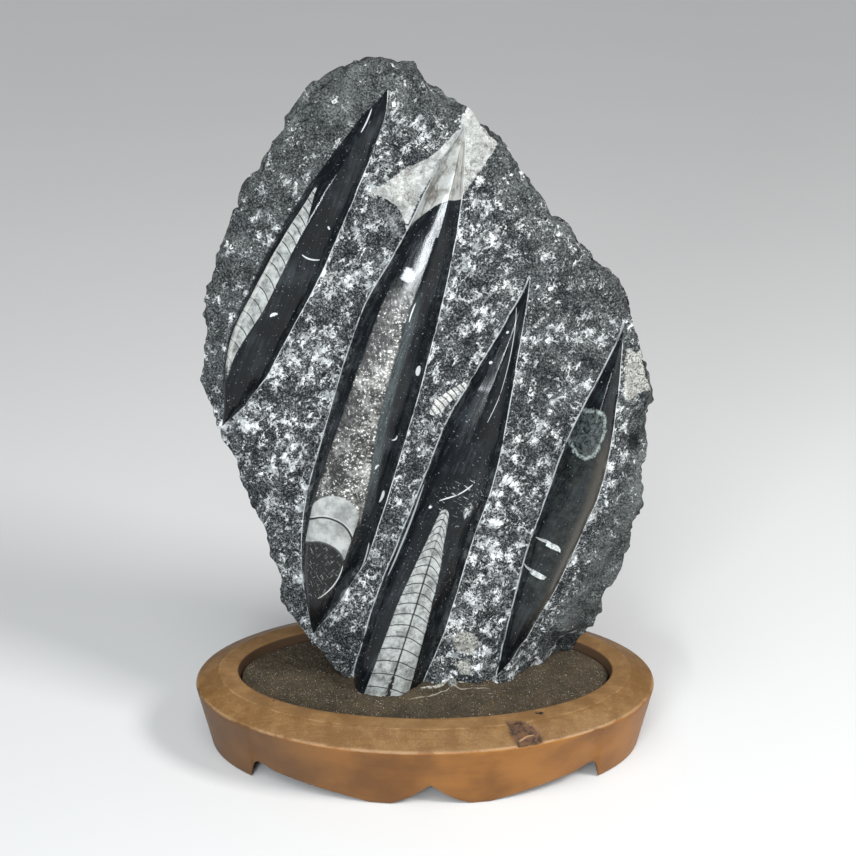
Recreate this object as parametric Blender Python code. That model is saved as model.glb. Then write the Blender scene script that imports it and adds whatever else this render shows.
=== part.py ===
# Orthoceras fossil slab standing in an oval wooden stand, in metres, +Z up.
# The origin is the centre of the stand's bottom, and the carved face looks to -Y.

import math

import bmesh
import bpy
from mathutils import Vector, geometry, noise

MM = 0.001
GAP = 0.0003

# Stand
STAND_HEIGHT = 0.0446
SHOULDER_HEIGHT = 0.0383
SHOULDER_RADII = (0.1307, 0.0749)
RING_RADII = (0.117, 0.0612)
RECESS_RADII = (0.1063, 0.0505)
RECESS_WALL_SLANT = 0.0018
RECESS_FLOOR = 0.027
SIDE_TAPER = 0.0075
SKIRT_THICKNESS = 0.011
HOLLOW_HEIGHT = 0.0145
STAND_SIDES = 72

# Bed
BED_TOP = 0.0396
BED_FILLET_HEIGHT = 0.0026
BED_FILLET_WIDTH = 0.006
BED_CELL = 0.0075

# Slab
FACE_Y = -0.0096
LEAN = math.radians(5.0)
THICKNESS_FOOT = 0.045
THICKNESS_TOP = 0.034
SLAB_HEIGHT = 0.345
FOOT_DEPTH = 0.010
FOOT_MIDDLE = 0.0215
FOOT_HALF_WIDTH = 0.0625
EDGE_STEP = 0.0075
FACE_CELL = 0.0072
BACK_CELL = 0.013
FOSSIL_SECTION_STEP = 0.013
FOSSIL_ROOT = 0.009

# Lower edge of the skirt from the middle outwards, in millimetres: distance from the middle and height.
# Where the height is below zero the skirt stands on the ground.
SKIRT_EDGE = [
    (0, 12.6), (4, 9.6), (10, 5.2), (17, 1.6), (23, -0.5), (31, -0.5), (38, 1.2), (55, 4.4),
    (72, 7.4), (83, 9.2), (89, 11.4), (92.5, 11.8), (94.6, 9.6), (95.6, 5.0), (96.2, -0.5),
]
SKIRT_MIDDLE = 0.003

# Outline of the slab in its own plane, in millimetres: across, and up along the face from the bed's top.
# It starts at the foot's left side and runs round over the top.
SLAB_OUTLINE = [
    (-41, -32), (-43, -3), (-55, 11), (-66, 25), (-73, 34), (-79, 50), (-84, 74), (-90, 92),
    (-98, 119), (-106, 137), (-114, 158), (-119, 181), (-116, 200), (-115, 217), (-109, 240),
    (-100, 261), (-88, 284), (-77, 300), (-69, 315), (-55, 330), (-45, 338), (-34, 343),
    (-22, 345), (-8, 341), (2, 331), (17, 320), (33, 308), (45, 292), (54, 280), (64, 266),
    (77, 255), (83, 245), (96, 235), (107, 219), (113, 198), (118, 178), (121, 168),
    (120, 140), (118, 106), (115, 83), (109, 63), (101, 43), (95, 24), (90, 13), (86, 3), (84, -10), (84, -32),
]

# Each fossil is a row of sections from its lower end to its upper point, in millimetres:
# height along the face, left edge, right edge and height above the face.
FOSSIL_SECTIONS = {
    "first": [
        (149, -111, -109, -3), (165, -107, -95, 5), (181, -106.5, -83, 8.5), (206, -101.5, -69.5, 11.5),
        (233, -88.5, -55, 12.5), (254, -77, -45, 12), (280, -60, -34, 10.5), (301, -44, -25.3, 8),
        (316, -31.5, -19.5, 5), (333, -18.5, -15.5, -3),
    ],
    "second": [
        (29, -64, -61, -3), (40, -64.8, -55, 5), (50, -66, -47.5, 9), (60, -67.3, -41.5, 11.5),
        (75, -68, -31.8, 14), (110, -64.8, -20.8, 16), (150, -54, -9, 16.5), (187, -43, 1, 16), (220, -31, 9, 15),
        (250, -14, 15, 12.5), (278, 0, 19, 9), (296, 9, 20, 6), (314, 19, 22, -3),
    ],
    "third": [
        (-32, -50, -10, 14), (4, -41, 0, 15.5), (30, -34, 10, 16), (54, -27, 17, 15.5),
        (86, -15, 26, 14.5), (126, 0, 38, 13), (157, 12, 43.7, 11), (188, 29, 48.3, 8),
        (215, 44, 52, 4.5), (236, 53, 55, -3),
    ],
    "fourth": [
        (2, 39, 41, -3), (14, 42, 48.8, 3), (28, 44.5, 57.5, 5.5), (59, 51, 73, 8.5), (90, 58, 85, 10.5),
        (118, 67, 95, 11), (145, 76, 100, 10), (166, 85, 102, 8), (188, 95, 104, 5),
        (211, 104, 106, -3),
    ],
}

# Cross-section of each fossil from its left edge to its right: share of the width, share of the height.
FOSSIL_PROFILES = {
    "first": [(0, 0), (0.03, 0.45), (0.1, 0.75), (0.39, 1.0), (0.66, 0.75), (0.89, 0.34), (1, 0)],
    "second": [(0, 0), (0.05, 0.5), (0.13, 0.86), (0.4, 1.0), (0.66, 0.95), (0.87, 0.48), (1, 0)],
    "third": [(0, 0), (0.04, 0.5), (0.1, 0.8), (0.42, 1.0), (0.7, 0.91), (0.9, 0.42), (1, 0)],
    "fourth": [(0, 0), (0.05, 0.45), (0.14, 0.74), (0.44, 1.0), (0.74, 0.8), (0.91, 0.36), (1, 0)],
}


def clear_scene():
    for thing in list(bpy.data.objects):
        bpy.data.objects.remove(thing, do_unlink=True)


def material(name, colour, roughness):
    made = bpy.data.materials.new(name)
    made.use_nodes = True
    shader = made.node_tree.nodes["Principled BSDF"]
    shader.inputs["Base Color"].default_value = (*colour, 1.0)
    shader.inputs["Roughness"].default_value = roughness
    shader.inputs["Metallic"].default_value = 0.0
    return made


def add_object(name, bm, made):
    bmesh.ops.recalc_face_normals(bm, faces=bm.faces)
    bmesh.ops.triangulate(bm, faces=bm.faces)
    mesh = bpy.data.meshes.new(name)
    bm.to_mesh(mesh)
    bm.free()
    mesh.materials.append(made)
    thing = bpy.data.objects.new(name, mesh)
    bpy.context.scene.collection.objects.link(thing)
    return thing


def add_helper(name, bm):
    thing = add_object(name, bm, material(name, (0.5, 0.5, 0.5), 0.5))
    thing.hide_render = True
    thing.display_type = "WIRE"
    return thing


def boolean(thing, helper, operation):
    modifier = thing.modifiers.new(helper.name, "BOOLEAN")
    modifier.operation = operation
    modifier.solver = "EXACT"
    modifier.object = helper


def smoothstep(low, high, value):
    share = min(max((value - low) / (high - low), 0.0), 1.0)
    return share * share * (3.0 - 2.0 * share)


def lump(point, size, amount):
    return amount * noise.noise(Vector(point) / size)


def ellipse_ring(bm, radii, height):
    ring = []
    for step in range(STAND_SIDES):
        turn = 2.0 * math.pi * step / STAND_SIDES
        ring.append(bm.verts.new((radii[0] * math.cos(turn), radii[1] * math.sin(turn), height)))
    return ring


def bridge(bm, low, high):
    count = len(low)
    for step in range(count):
        after = (step + 1) % count
        bm.faces.new((low[step], low[after], high[after], high[step]))


def fan(bm, ring, height):
    centre = bm.verts.new((0.0, 0.0, height))
    for step in range(len(ring)):
        bm.faces.new((ring[step], ring[(step + 1) % len(ring)], centre))


def smaller(radii, amount):
    return (radii[0] - amount, radii[1] - amount)


# Stand

def stand_body():
    bm = bmesh.new()
    foot = smaller(SHOULDER_RADII, SIDE_TAPER)
    inner = smaller(foot, SKIRT_THICKNESS)
    profile = [
        (smaller(inner, 0.003), HOLLOW_HEIGHT),
        (inner, 0.0),
        (foot, 0.0),
        (SHOULDER_RADII, SHOULDER_HEIGHT),
        (RING_RADII, STAND_HEIGHT),
        (RECESS_RADII, STAND_HEIGHT),
        (smaller(RECESS_RADII, RECESS_WALL_SLANT), RECESS_FLOOR),
    ]
    rings = [ellipse_ring(bm, radii, height) for radii, height in profile]
    for low, high in zip(rings, rings[1:]):
        bridge(bm, low, high)
    fan(bm, rings[0], HOLLOW_HEIGHT)
    fan(bm, rings[-1], RECESS_FLOOR)
    return bm


def skirt_across(x):
    """The cusp is a little right of the middle, and the feet are even."""
    return x * MM + SKIRT_MIDDLE * (1.0 - smoothstep(40.0, 90.0, abs(x)))


def skirt_cutter():
    """The arches under the skirt's lower edge, the same at the front and the back."""
    left = [(skirt_across(-x), z * MM) for x, z in reversed(SKIRT_EDGE[1:])]
    right = [(skirt_across(x), z * MM) for x, z in SKIRT_EDGE]
    below = -0.01
    edge = [(left[0][0], below), *left, *right, (right[-1][0], below)]
    bm = bmesh.new()
    front = [bm.verts.new((x, -0.12, z)) for x, z in edge]
    back = [bm.verts.new((x, 0.12, z)) for x, z in edge]
    bm.faces.new(front)
    bm.faces.new(reversed(back))
    bridge(bm, front, back)
    return bm


def make_stand():
    wood = material("satin_brown_wood", (0.27, 0.14, 0.065), 0.45)
    stand = add_object("wooden_stand", stand_body(), wood)
    boolean(stand, add_helper("skirt_cutter", skirt_cutter()), "DIFFERENCE")
    return stand


# Slab

def in_world(across, up, out):
    """A point of the slab's own plane, in metres, placed in the part's frame."""
    y = FACE_Y + up * math.sin(LEAN) - out * math.cos(LEAN)
    z = BED_TOP + up * math.cos(LEAN) + out * math.sin(LEAN)
    return Vector((across, y, z))


def edge_points():
    """The slab's outline, with points at even steps and a broken edge."""
    corners = [Vector((x, y)) * MM for x, y in SLAB_OUTLINE]
    points = []
    for start, end in zip(corners, corners[1:]):
        steps = max(1, round((end - start).length / EDGE_STEP))
        points += [start.lerp(end, step / steps) for step in range(steps)]
    points.append(corners[-1])
    steps = round((corners[0] - corners[-1]).length / EDGE_STEP)
    points += [corners[-1].lerp(corners[0], step / steps) for step in range(1, steps)]
    return points


def inward_normals(points):
    """The way to the slab's middle at each outline point. Below the bed's top it runs level."""
    normals = []
    count = len(points)
    for step in range(count):
        along = points[(step + 2) % count] - points[step - 2]
        normal = Vector((along.y, -along.x)).normalized()
        if points[step].y < -0.012:
            level = (FOOT_MIDDLE - points[step].x) / FOOT_HALF_WIDTH
            normal = Vector((min(max(level, -1.0), 1.0), 0.0))
        normals.append(normal)
    return normals


def low_right(across, up):
    """How far a place belongs to the lower right side, where the face falls away to the back."""
    return smoothstep(0.0, 0.05, across) * (1.0 - smoothstep(0.015, 0.115, up))


def thickness(up):
    return THICKNESS_FOOT + (THICKNESS_TOP - THICKNESS_FOOT) * smoothstep(0.1, SLAB_HEIGHT, up)


def side_rings(points, normals):
    """Rings round the slab's edge from the face to the back, as rows of (across, up, out)."""
    shares = [
        (0.0045, 0.015, -0.004, -0.009),
        (0.0010, 0.004, -0.0085, -0.0085),
        (0.0000, 0.000, -0.015, -0.007),
        (0.0030, 0.006, -0.026, -0.003),
    ]
    rings = []
    for inset, more_inset, out, more_out in shares:
        rings.append(ring_at(points, normals, inset, more_inset, out, more_out))
    back = []
    for point, normal in zip(points, normals):
        low = low_right(point.x, point.y)
        place = point + normal * (0.008 + 0.015 * low)
        back.append(Vector((place.x, place.y, 0.005 - thickness(point.y))))
    rings.append(back)
    return rings


def ring_at(points, normals, inset, more_inset, out, more_out):
    ring = []
    for point, normal in zip(points, normals):
        low = low_right(point.x, point.y)
        place = point + normal * (inset + more_inset * low)
        ring.append(Vector((place.x, place.y, out + more_out * low)))
    return ring


def inside(place, outline):
    found = False
    for start, end in zip(outline, outline[1:] + outline[:1]):
        if (start.y > place.y) != (end.y > place.y):
            cross = start.x + (place.y - start.y) * (end.x - start.x) / (end.y - start.y)
            if place.x < cross:
                found = not found
    return found


def edge_distance(place, outline):
    nearest = 1.0
    for start, end in zip(outline, outline[1:] + outline[:1]):
        along = end - start
        share = min(max((place - start).dot(along) / max(along.length_squared, 1e-12), 0.0), 1.0)
        nearest = min(nearest, (place - start - along * share).length)
    return nearest


def inner_points(outline, cell):
    """Staggered points inside an outline, moved a little so that no row shows."""
    low_x = min(point.x for point in outline)
    high_x = max(point.x for point in outline)
    low_y = min(point.y for point in outline)
    high_y = max(point.y for point in outline)
    points = []
    row = 0
    y = low_y + cell * 0.5
    while y < high_y:
        x = low_x + cell * (0.25 + 0.5 * (row % 2))
        while x < high_x:
            seed = Vector((x, y, 0.37)) / (0.7 * cell)
            place = Vector((x, y)) + cell * 0.42 * Vector((noise.noise(seed), noise.noise(seed.zyx)))
            if inside(place, outline) and edge_distance(place, outline) > cell * 0.55:
                points.append(place)
            x += cell
        y += cell * 0.87
        row += 1
    return points


def cap(bm, ring, places, cell, height_of, towards_minus):
    """Fills a ring with triangles through inner points, each at the height that height_of gives."""
    outline = [Vector((place.x, place.y)) for place in places]
    inner = inner_points(outline, cell)
    count = len(ring)
    edges = [(step, (step + 1) % count) for step in range(count)]
    flat = geometry.delaunay_2d_cdt(outline + inner, edges, [], 1, 1e-7)
    verts = list(ring)
    for place in inner:
        verts.append(bm.verts.new(height_of(place, edge_distance(place, outline))))
    for triangle in flat[2]:
        corners = [verts[flat[3][index][0]] for index in triangle]
        bm.faces.new(reversed(corners) if towards_minus else corners)


def face_out(place, edge):
    """How far the rough face stands out at a place, falling away at the edge and at the lower right."""
    seed = (place.x, place.y, 0.0)
    out = lump(seed, 0.045, 0.004) + lump(seed, 0.013, 0.0042)
    out -= 0.0045 * (1.0 - smoothstep(0.0, 0.016, edge))
    beside = place.x - 0.044 - 0.46 * max(place.y, 0.0)
    out -= low_right(place.x, place.y) * 0.42 * max(beside, 0.0)
    return out


def face_point(place, edge):
    return in_world(place.x, place.y, face_out(place, edge))


def back_point(place, edge):
    seed = (place.x, place.y, 0.2)
    out = lump(seed, 0.06, 0.009) + lump(seed, 0.02, 0.0055)
    rise = 0.0045 * smoothstep(0.0, 0.02, edge)
    return in_world(place.x, place.y, out + 0.0045 - thickness(place.y) - rise)


def rough(point, depth):
    """A ring point moved by the rock's own roughness, more at the side than at the face."""
    seed = Vector((point.x, point.y, 2.0 * point.z))
    moved = Vector(point)
    moved.x += lump(seed, 0.014, 0.0042) * depth
    moved.y += lump(seed.yzx, 0.014, 0.0042) * depth
    moved.z += lump(seed.zxy, 0.018, 0.005)
    return moved


def rock(grow):
    """The rock without its fossils, each point moved outwards by grow."""
    points = edge_points()
    normals = inward_normals(points)
    bm = bmesh.new()
    rings = []
    for number, places in enumerate(side_rings(points, normals)):
        depth = 1.0 if 0 < number < 4 else 0.5
        rings.append([rough(place, depth) for place in places])
    rings[0] = [Vector((place.x, place.y, face_out(place, 0.0))) for place in rings[0]]
    verts = [[bm.verts.new(in_world(*place)) for place in places] for places in rings]
    for near, far in zip(verts, verts[1:]):
        bridge(bm, near, far)
    cap(bm, verts[0], rings[0], FACE_CELL, face_point, True)
    cap(bm, verts[-1], rings[-1], BACK_CELL, back_point, False)
    bmesh.ops.recalc_face_normals(bm, faces=bm.faces)
    swell(bm, grow)
    cut_foot(bm, grow)
    return bm


def swell(bm, grow):
    bm.normal_update()
    moves = [(vert, vert.normal * grow) for vert in bm.verts]
    for vert, move in moves:
        vert.co += move


def cut_foot(bm, grow):
    """Cuts the foot flat where it stands in the bed."""
    height = BED_TOP - FOOT_DEPTH - grow
    everything = bm.verts[:] + bm.edges[:] + bm.faces[:]
    bmesh.ops.bisect_plane(
        bm, geom=everything, plane_co=(0, 0, height), plane_no=(0, 0, 1), clear_inner=True
    )
    open_edges = [edge for edge in bm.edges if edge.is_boundary]
    bmesh.ops.holes_fill(bm, edges=open_edges)


def between(before, start, end, after, share):
    """A smooth curve through four values, as a number between the middle two."""
    a = 2.0 * start
    b = end - before
    c = 2.0 * before - 5.0 * start + 4.0 * end - after
    d = -before + 3.0 * start - 3.0 * end + after
    return 0.5 * (a + share * (b + share * (c + share * d)))


def fossil_rows(sections):
    """The sections of one fossil, in metres, with smooth ones between those given."""
    rows = [[value * MM for value in section] for section in sections]
    made = [rows[0]]
    for number in range(len(rows) - 1):
        start = rows[number]
        end = rows[number + 1]
        before = rows[max(number - 1, 0)]
        after = rows[min(number + 2, len(rows) - 1)]
        steps = max(1, round((end[0] - start[0]) / FOSSIL_SECTION_STEP))
        for step in range(1, steps + 1):
            share = step / steps
            row = [start[0] + (end[0] - start[0]) * share]
            row += [between(before[i], start[i], end[i], after[i], share) for i in (1, 2, 3)]
            made.append(row)
    return made


def fossil(name, grow):
    bm = bmesh.new()
    loops = []
    for up, left, right, height in fossil_rows(FOSSIL_SECTIONS[name]):
        profile = [(0.0, -FOSSIL_ROOT), *[(share, rise * height) for share, rise in FOSSIL_PROFILES[name]]]
        profile.append((1.0, -FOSSIL_ROOT))
        if height < 0.0:
            profile = [(share, min(rise, height)) for share, rise in profile]
            profile[0] = (0.0, -FOSSIL_ROOT)
            profile[-1] = (1.0, -FOSSIL_ROOT)
        loop = []
        for number, (share, rise) in enumerate(profile):
            slide = 0.0001 * number if height < 0.0 else 0.0
            across = left + (right - left) * share
            loop.append(bm.verts.new(in_world(across, up, rise + slide)))
        loops.append(loop)
    for low, high in zip(loops, loops[1:]):
        bridge(bm, low, high)
    bm.faces.new(reversed(loops[0]))
    bm.faces.new(loops[-1])
    bmesh.ops.recalc_face_normals(bm, faces=bm.faces)
    bmesh.ops.triangulate(bm, faces=bm.faces)
    swell(bm, grow)
    cut_foot(bm, grow)
    return bm


def make_slab():
    stone = material("dark_fossil_limestone", (0.05, 0.055, 0.062), 0.4)
    slab = add_object("fossil_slab", rock(0.0), stone)
    for name in FOSSIL_SECTIONS:
        boolean(slab, add_helper(name + "_fossil", fossil(name, 0.0)), "UNION")
    return slab


# Bed

def bed_height(place, edge):
    """The bed's top rises in a low fillet against the slab's foot."""
    foot = [Vector((x, y)) * MM for x, y in FOOT_OUTLINE]
    away = 0.0 if inside(place, foot) else edge_distance(place, foot)
    rise = BED_FILLET_HEIGHT * (1.0 - smoothstep(0.0, BED_FILLET_WIDTH, away))
    grit = lump((place.x, place.y, 0.0), 0.011, 0.0007)
    return Vector((place.x, place.y, BED_TOP + rise + grit))


# The slab's foot where it meets the bed, seen from above, in millimetres.
FOOT_OUTLINE = [
    (-42, -16), (-30, -25), (-12, -26), (0, -13), (42, -9), (60, -4), (76, 7), (85, 16), (85, 24), (66, 32),
    (-36, 36),
]


def bed_body():
    bm = bmesh.new()
    radii = smaller(RECESS_RADII, RECESS_WALL_SLANT + GAP)
    low = ellipse_ring(bm, radii, RECESS_FLOOR + GAP)
    high = ellipse_ring(bm, radii, BED_TOP)
    bridge(bm, low, high)
    fan(bm, low, RECESS_FLOOR + GAP)
    cap(bm, high, [vert.co for vert in high], BED_CELL, bed_height, False)
    return bm


def make_bed():
    sand = material("dark_glitter_sand", (0.07, 0.05, 0.035), 0.85)
    bed = add_object("mortar_bed", bed_body(), sand)
    boolean(bed, add_helper("rock_pocket", rock(GAP)), "DIFFERENCE")
    boolean(bed, add_helper("fossil_pocket", fossil("third", GAP)), "DIFFERENCE")
    return bed


def main():
    clear_scene()
    make_stand()
    make_slab()
    make_bed()


main()
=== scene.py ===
import math
import random

import bmesh
import bpy
import numpy as np
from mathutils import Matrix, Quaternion, Vector, geometry, noise


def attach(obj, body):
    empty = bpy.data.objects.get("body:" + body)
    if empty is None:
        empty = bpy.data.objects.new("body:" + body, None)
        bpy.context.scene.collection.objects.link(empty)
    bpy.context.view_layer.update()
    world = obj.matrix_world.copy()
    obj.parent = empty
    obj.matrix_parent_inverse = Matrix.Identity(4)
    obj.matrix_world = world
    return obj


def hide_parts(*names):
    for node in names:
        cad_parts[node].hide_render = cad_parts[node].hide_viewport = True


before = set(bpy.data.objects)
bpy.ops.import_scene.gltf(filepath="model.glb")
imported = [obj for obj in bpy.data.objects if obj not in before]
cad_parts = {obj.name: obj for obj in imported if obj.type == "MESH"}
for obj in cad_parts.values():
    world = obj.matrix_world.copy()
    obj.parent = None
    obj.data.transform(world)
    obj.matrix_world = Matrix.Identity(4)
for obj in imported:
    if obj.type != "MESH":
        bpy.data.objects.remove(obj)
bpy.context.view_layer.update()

# Orthoceras fossil slab in its wooden stand, in metres, +Z up, with the carved face to -Y.
MM = 0.001
TO_MM = 1000.0

# Slab, as the solid model has it
FACE_Y = -0.0096
BED_TOP = 0.0396
LEAN = math.radians(5.0)
UP_Y = math.sin(LEAN)
UP_Z = math.cos(LEAN)
THICKNESS_FOOT = 0.045
THICKNESS_TOP = 0.034
SLAB_HEIGHT = 0.345
FOOT_DEPTH = 0.010
FOOT_MIDDLE = 0.0215
FOOT_HALF_WIDTH = 0.0625
OUTLINE_STEP = 0.0013
FACE_CELL = 0.00128
BACK_CELL = 0.004
ROW_STEP = 0.0015
COLUMNS = 28

# Outline of the slab in its own plane, in millimetres: across, and up along the face from the bed's top.
SLAB_OUTLINE = [
    (-41, -32), (-43, -3), (-55, 11), (-66, 25), (-73, 34), (-79, 50), (-84, 74), (-90, 92), (-98, 119),
    (-106, 137), (-114, 158), (-119, 181), (-116, 200), (-115, 217), (-109, 240), (-100, 261), (-88, 284),
    (-77, 300), (-69, 315), (-55, 330), (-45, 338), (-34, 343), (-22, 345), (-8, 341), (2, 331),
    (17, 320), (33, 308), (45, 292), (54, 280), (64, 266), (77, 255), (83, 245), (96, 235), (107, 219),
    (113, 198), (118, 178), (121, 168), (120, 140), (118, 106), (115, 83), (109, 63), (101, 43), (95, 24),
    (90, 13), (86, 3), (84, -10), (84, -32),
]

# Each fossil from its lower end to its upper point, in millimetres:
# height along the face, left edge, right edge and height above the face.
FOSSIL_SECTIONS = {
    "first": [
        (152, -108.5, -108, 0), (158, -107.8, -102, 2.6), (165, -107, -95, 5), (181, -106.5, -83, 8.5),
        (206, -101.5, -69.5, 11.5), (233, -88.5, -55, 12.5), (254, -77, -45, 12), (280, -60, -34, 10.5),
        (301, -44, -25.3, 8), (316, -31.5, -19.5, 5), (330, -18.6, -18, 0),
    ],
    "second": [
        (30, -62.6, -62, 0), (40, -64.8, -55, 5), (50, -66, -47.5, 9), (60, -67.3, -41.5, 11.5),
        (75, -68, -31.8, 14), (110, -64.8, -20.8, 16), (150, -54, -9, 16.5), (187, -43, 1, 16),
        (220, -31, 9, 15), (250, -14, 15, 12.5), (278, 0, 19.3, 9), (296, 9, 20.6, 6), (312, 19.6, 20.2, 0),
    ],
    "third": [
        (-24, -24, -23.4, 0), (-19, -38, -8, 14), (4, -40.6, 0, 15.5), (30, -34, 10, 16), (54, -27, 17, 15.5),
        (86, -15, 26, 14.5), (126, 0, 38, 13), (157, 12, 43.7, 11), (188, 29, 48.3, 8),
        (215, 44, 52.3, 4.5), (235, 54, 54.6, 0),
    ],
    "fourth": [
        (4, 40, 40.6, 0), (14, 42, 48.8, 3), (28, 44.5, 57.5, 5.5), (59, 51, 73, 8.5), (90, 58, 85, 10.5),
        (118, 67, 95, 11), (145, 76, 100, 10), (166, 85, 102, 8), (188, 95, 103.4, 5), (209, 104, 104.6, 0),
    ],
}

# Cross-sections from the left edge to the right: share of the width, share of the height.
# The first is at the belly and the second at the upper point.
FOSSIL_PROFILES = {
    "first": (
        [(0, 0), (0.03, 0.45), (0.1, 0.75), (0.39, 1.0), (0.66, 0.75), (0.89, 0.34), (1, 0)],
        [(0, 0), (0.05, 0.35), (0.16, 0.62), (0.42, 1.0), (0.66, 0.64), (0.88, 0.26), (1, 0)],
    ),
    "second": (
        [(0, 0), (0.05, 0.5), (0.13, 0.86), (0.4, 1.0), (0.66, 0.95), (0.87, 0.48), (1, 0)],
        [(0, 0), (0.08, 0.42), (0.2, 0.68), (0.45, 0.9), (0.65, 1.0), (0.84, 0.48), (1, 0)],
    ),
    "third": (
        [(0, 0), (0.04, 0.5), (0.1, 0.8), (0.42, 1.0), (0.7, 0.91), (0.9, 0.42), (1, 0)],
        [(0, 0), (0.1, 0.5), (0.2, 0.72), (0.55, 1.0), (0.76, 0.68), (0.9, 0.34), (1, 0)],
    ),
    "fourth": (
        [(0, 0), (0.05, 0.45), (0.14, 0.74), (0.44, 1.0), (0.74, 0.8), (0.91, 0.36), (1, 0)],
        [(0, 0), (0.08, 0.4), (0.25, 0.74), (0.5, 1.0), (0.72, 0.6), (0.88, 0.28), (1, 0)],
    ),
}

# Outlines of the markings that aren't lines, in millimetres on the face: across and up.
VEIN_OUTLINES = {
    "rock": [
        [
            (-31, 277.5), (-26, 279.6), (-20, 282.6), (-11, 289.6), (2, 295), (8, 300), (13, 305.5),
            (18, 310), (21, 306), (14, 296), (4, 286), (-2, 277), (-8, 263), (-9.5, 258), (-10.3, 264),
            (-14.3, 271.2), (-20.3, 275.8), (-26, 277.0),
        ],
        [
            (17, 273), (21, 279), (26, 286), (31.5, 293), (37, 301), (43, 309), (40, 320), (30, 328),
            (22, 324), (18.6, 316), (18, 306), (15, 290),
        ],
    ],
    "second": [
        [
            (-12, 256), (-7.4, 261.4), (-3.5, 265.6), (0.2, 268.8), (5.3, 272.8), (11.8, 275.9),
            (15, 274.8), (17.3, 274.6), (26, 275), (28, 300), (24, 318), (12, 312), (-6, 280), (-16, 262),
        ],
    ],
}
PATCH_OUTLINES = {
    "rock": [
        [
            (106, 195), (112.5, 193), (118, 187), (121, 177), (115, 170), (108, 166.6), (104.8, 172),
            (105.6, 184),
        ],
        [(15.1, 30.2), (20.7, 35.1), (28, 32.6), (30.8, 24.6), (26.4, 18.4), (16.9, 21.5)],
        [(16.9, 12.8), (25.3, 15.3), (28.2, 7.8), (19.8, 5.2)],
    ],
    "second": [
        [(-12.4, 236), (-10.6, 240), (-8.9, 242.4), (-5.9, 241.4), (-5.2, 236.4), (-7.2, 234.4), (-10, 235)],
    ],
    "third": [[(21, 104), (24.6, 106), (26, 111), (24, 115), (22, 113), (20.5, 109)]],
    "fourth": [
        [
            (77, 160), (79.6, 162.6), (82.7, 163.4), (88.9, 165), (93.6, 164.1), (96.2, 159.7),
            (95.9, 150.8), (93.4, 143), (89.8, 138.5), (84.5, 137.3), (79.4, 139.6), (76, 146),
            (75.4, 154),
        ],
    ],
}

# A smooth dark hollow by the vein, with a line of painted shade along its upper right rim, and a small pit by
# the right edge, in millimetres on the face
HOLLOW_CENTRE = (-26.0, 259.5)
HOLLOW_RADIUS = 16.1
PIT_CENTRE = (112.5, 142.0)
PIT_REACH = (3.4, 6.0)
PIT_DEPTH = 2.6

LITTLE_FOSSIL = [
    (1.7, 161), (4.9, 168.2), (12.3, 173.7), (20.7, 178.7), (23.9, 176), (16, 169.3), (9.2, 161.5),
    (4.4, 159.3),
]

# Stand and bed, as the solid model has them
STAND_HEIGHT = 0.0446
SHOULDER_HEIGHT = 0.0383
SHOULDER_RADII = (0.1307, 0.0749)
RING_RADII = (0.117, 0.0612)
RECESS_RADII = (0.1063, 0.0505)
RECESS_FLOOR = 0.027
RECESS_WALL_SLANT = 0.0018
SIDE_TAPER = 0.0075
SKIRT_THICKNESS = 0.011
HOLLOW_HEIGHT = 0.0145
SKIRT_MIDDLE = 0.003
SKIRT_EDGE = [
    (0, 12.6), (4, 9.6), (10, 5.2), (17, 1.6), (23, -0.5), (31, -0.5), (38, 1.2), (55, 4.4),
    (72, 7.4), (83, 9.2), (89, 11.4), (92.5, 11.8), (94.6, 9.6), (95.6, 5.0), (96.2, -0.5),
]
STAND_SIDES = 540

# Damage on the stand's ring and bevel: outlines seen from above in millimetres, depths in metres
CHIP_OUTLINE = [
    (43.2, -53.7), (47.2, -52.5), (52.4, -53.2), (57.4, -55.8), (61.2, -59.6), (62.8, -63.2), (62.0, -66.8),
    (56.0, -68.9), (50.6, -70.2), (48.0, -66.8), (45.4, -61.0),
]
HOLES = [((61.9, -45.4), (2.5, 1.2)), ((-120.5, -33.9), (0.6, 0.7)), ((-83.0, -33.7), (0.6, 0.7))]
CHIP_DEPTH = 0.0011
HOLE_DEPTH = 0.0014


# Small helpers

def smoothstep(low, high, value):
    share = np.clip((value - low) / (high - low), 0.0, 1.0)
    return share * share * (3.0 - 2.0 * share)


def lumps(points, size, amount, shift=0.0):
    """Smooth noise at many points at once."""
    scaled = np.asarray(points) / size + shift
    return amount * np.array([noise.noise(Vector(row)) for row in scaled])


def in_world(across, up, out):
    """Points of the slab's own plane, in metres, placed in the part's frame."""
    y = FACE_Y + up * UP_Y - out * UP_Z
    z = BED_TOP + up * UP_Z + out * UP_Y
    return np.stack([across, y, z], axis=-1)


def level(points, height=0.0):
    """Points of a plane with one height added to all."""
    return np.column_stack([points, np.full(len(points), height)])


def triangulated(points, ring_sizes):
    """Triangles of a plane's points, which start with closed rings of those sizes that are kept as edges."""
    edges = []
    start = 0
    for count in ring_sizes:
        edges += [(start + i, start + (i + 1) % count) for i in range(count)]
        start += count
    found = geometry.delaunay_2d_cdt([Vector(point) for point in points], edges, [], 1, 1e-8)
    if not all(found[3]):
        raise RuntimeError("two outlines cross")
    return np.array([[found[3][i][0] for i in face] for face in found[2]])


def closed(row):
    return np.append(row, row[0])


def faces_between(near, far):
    """Four-sided faces between two rows of points."""
    return list(zip(near[:-1], near[1:], far[1:], far[:-1]))


def linked(name, data):
    """A new object of the scene."""
    made = bpy.data.objects.new(name, data)
    bpy.context.scene.collection.objects.link(made)
    return made


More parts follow.
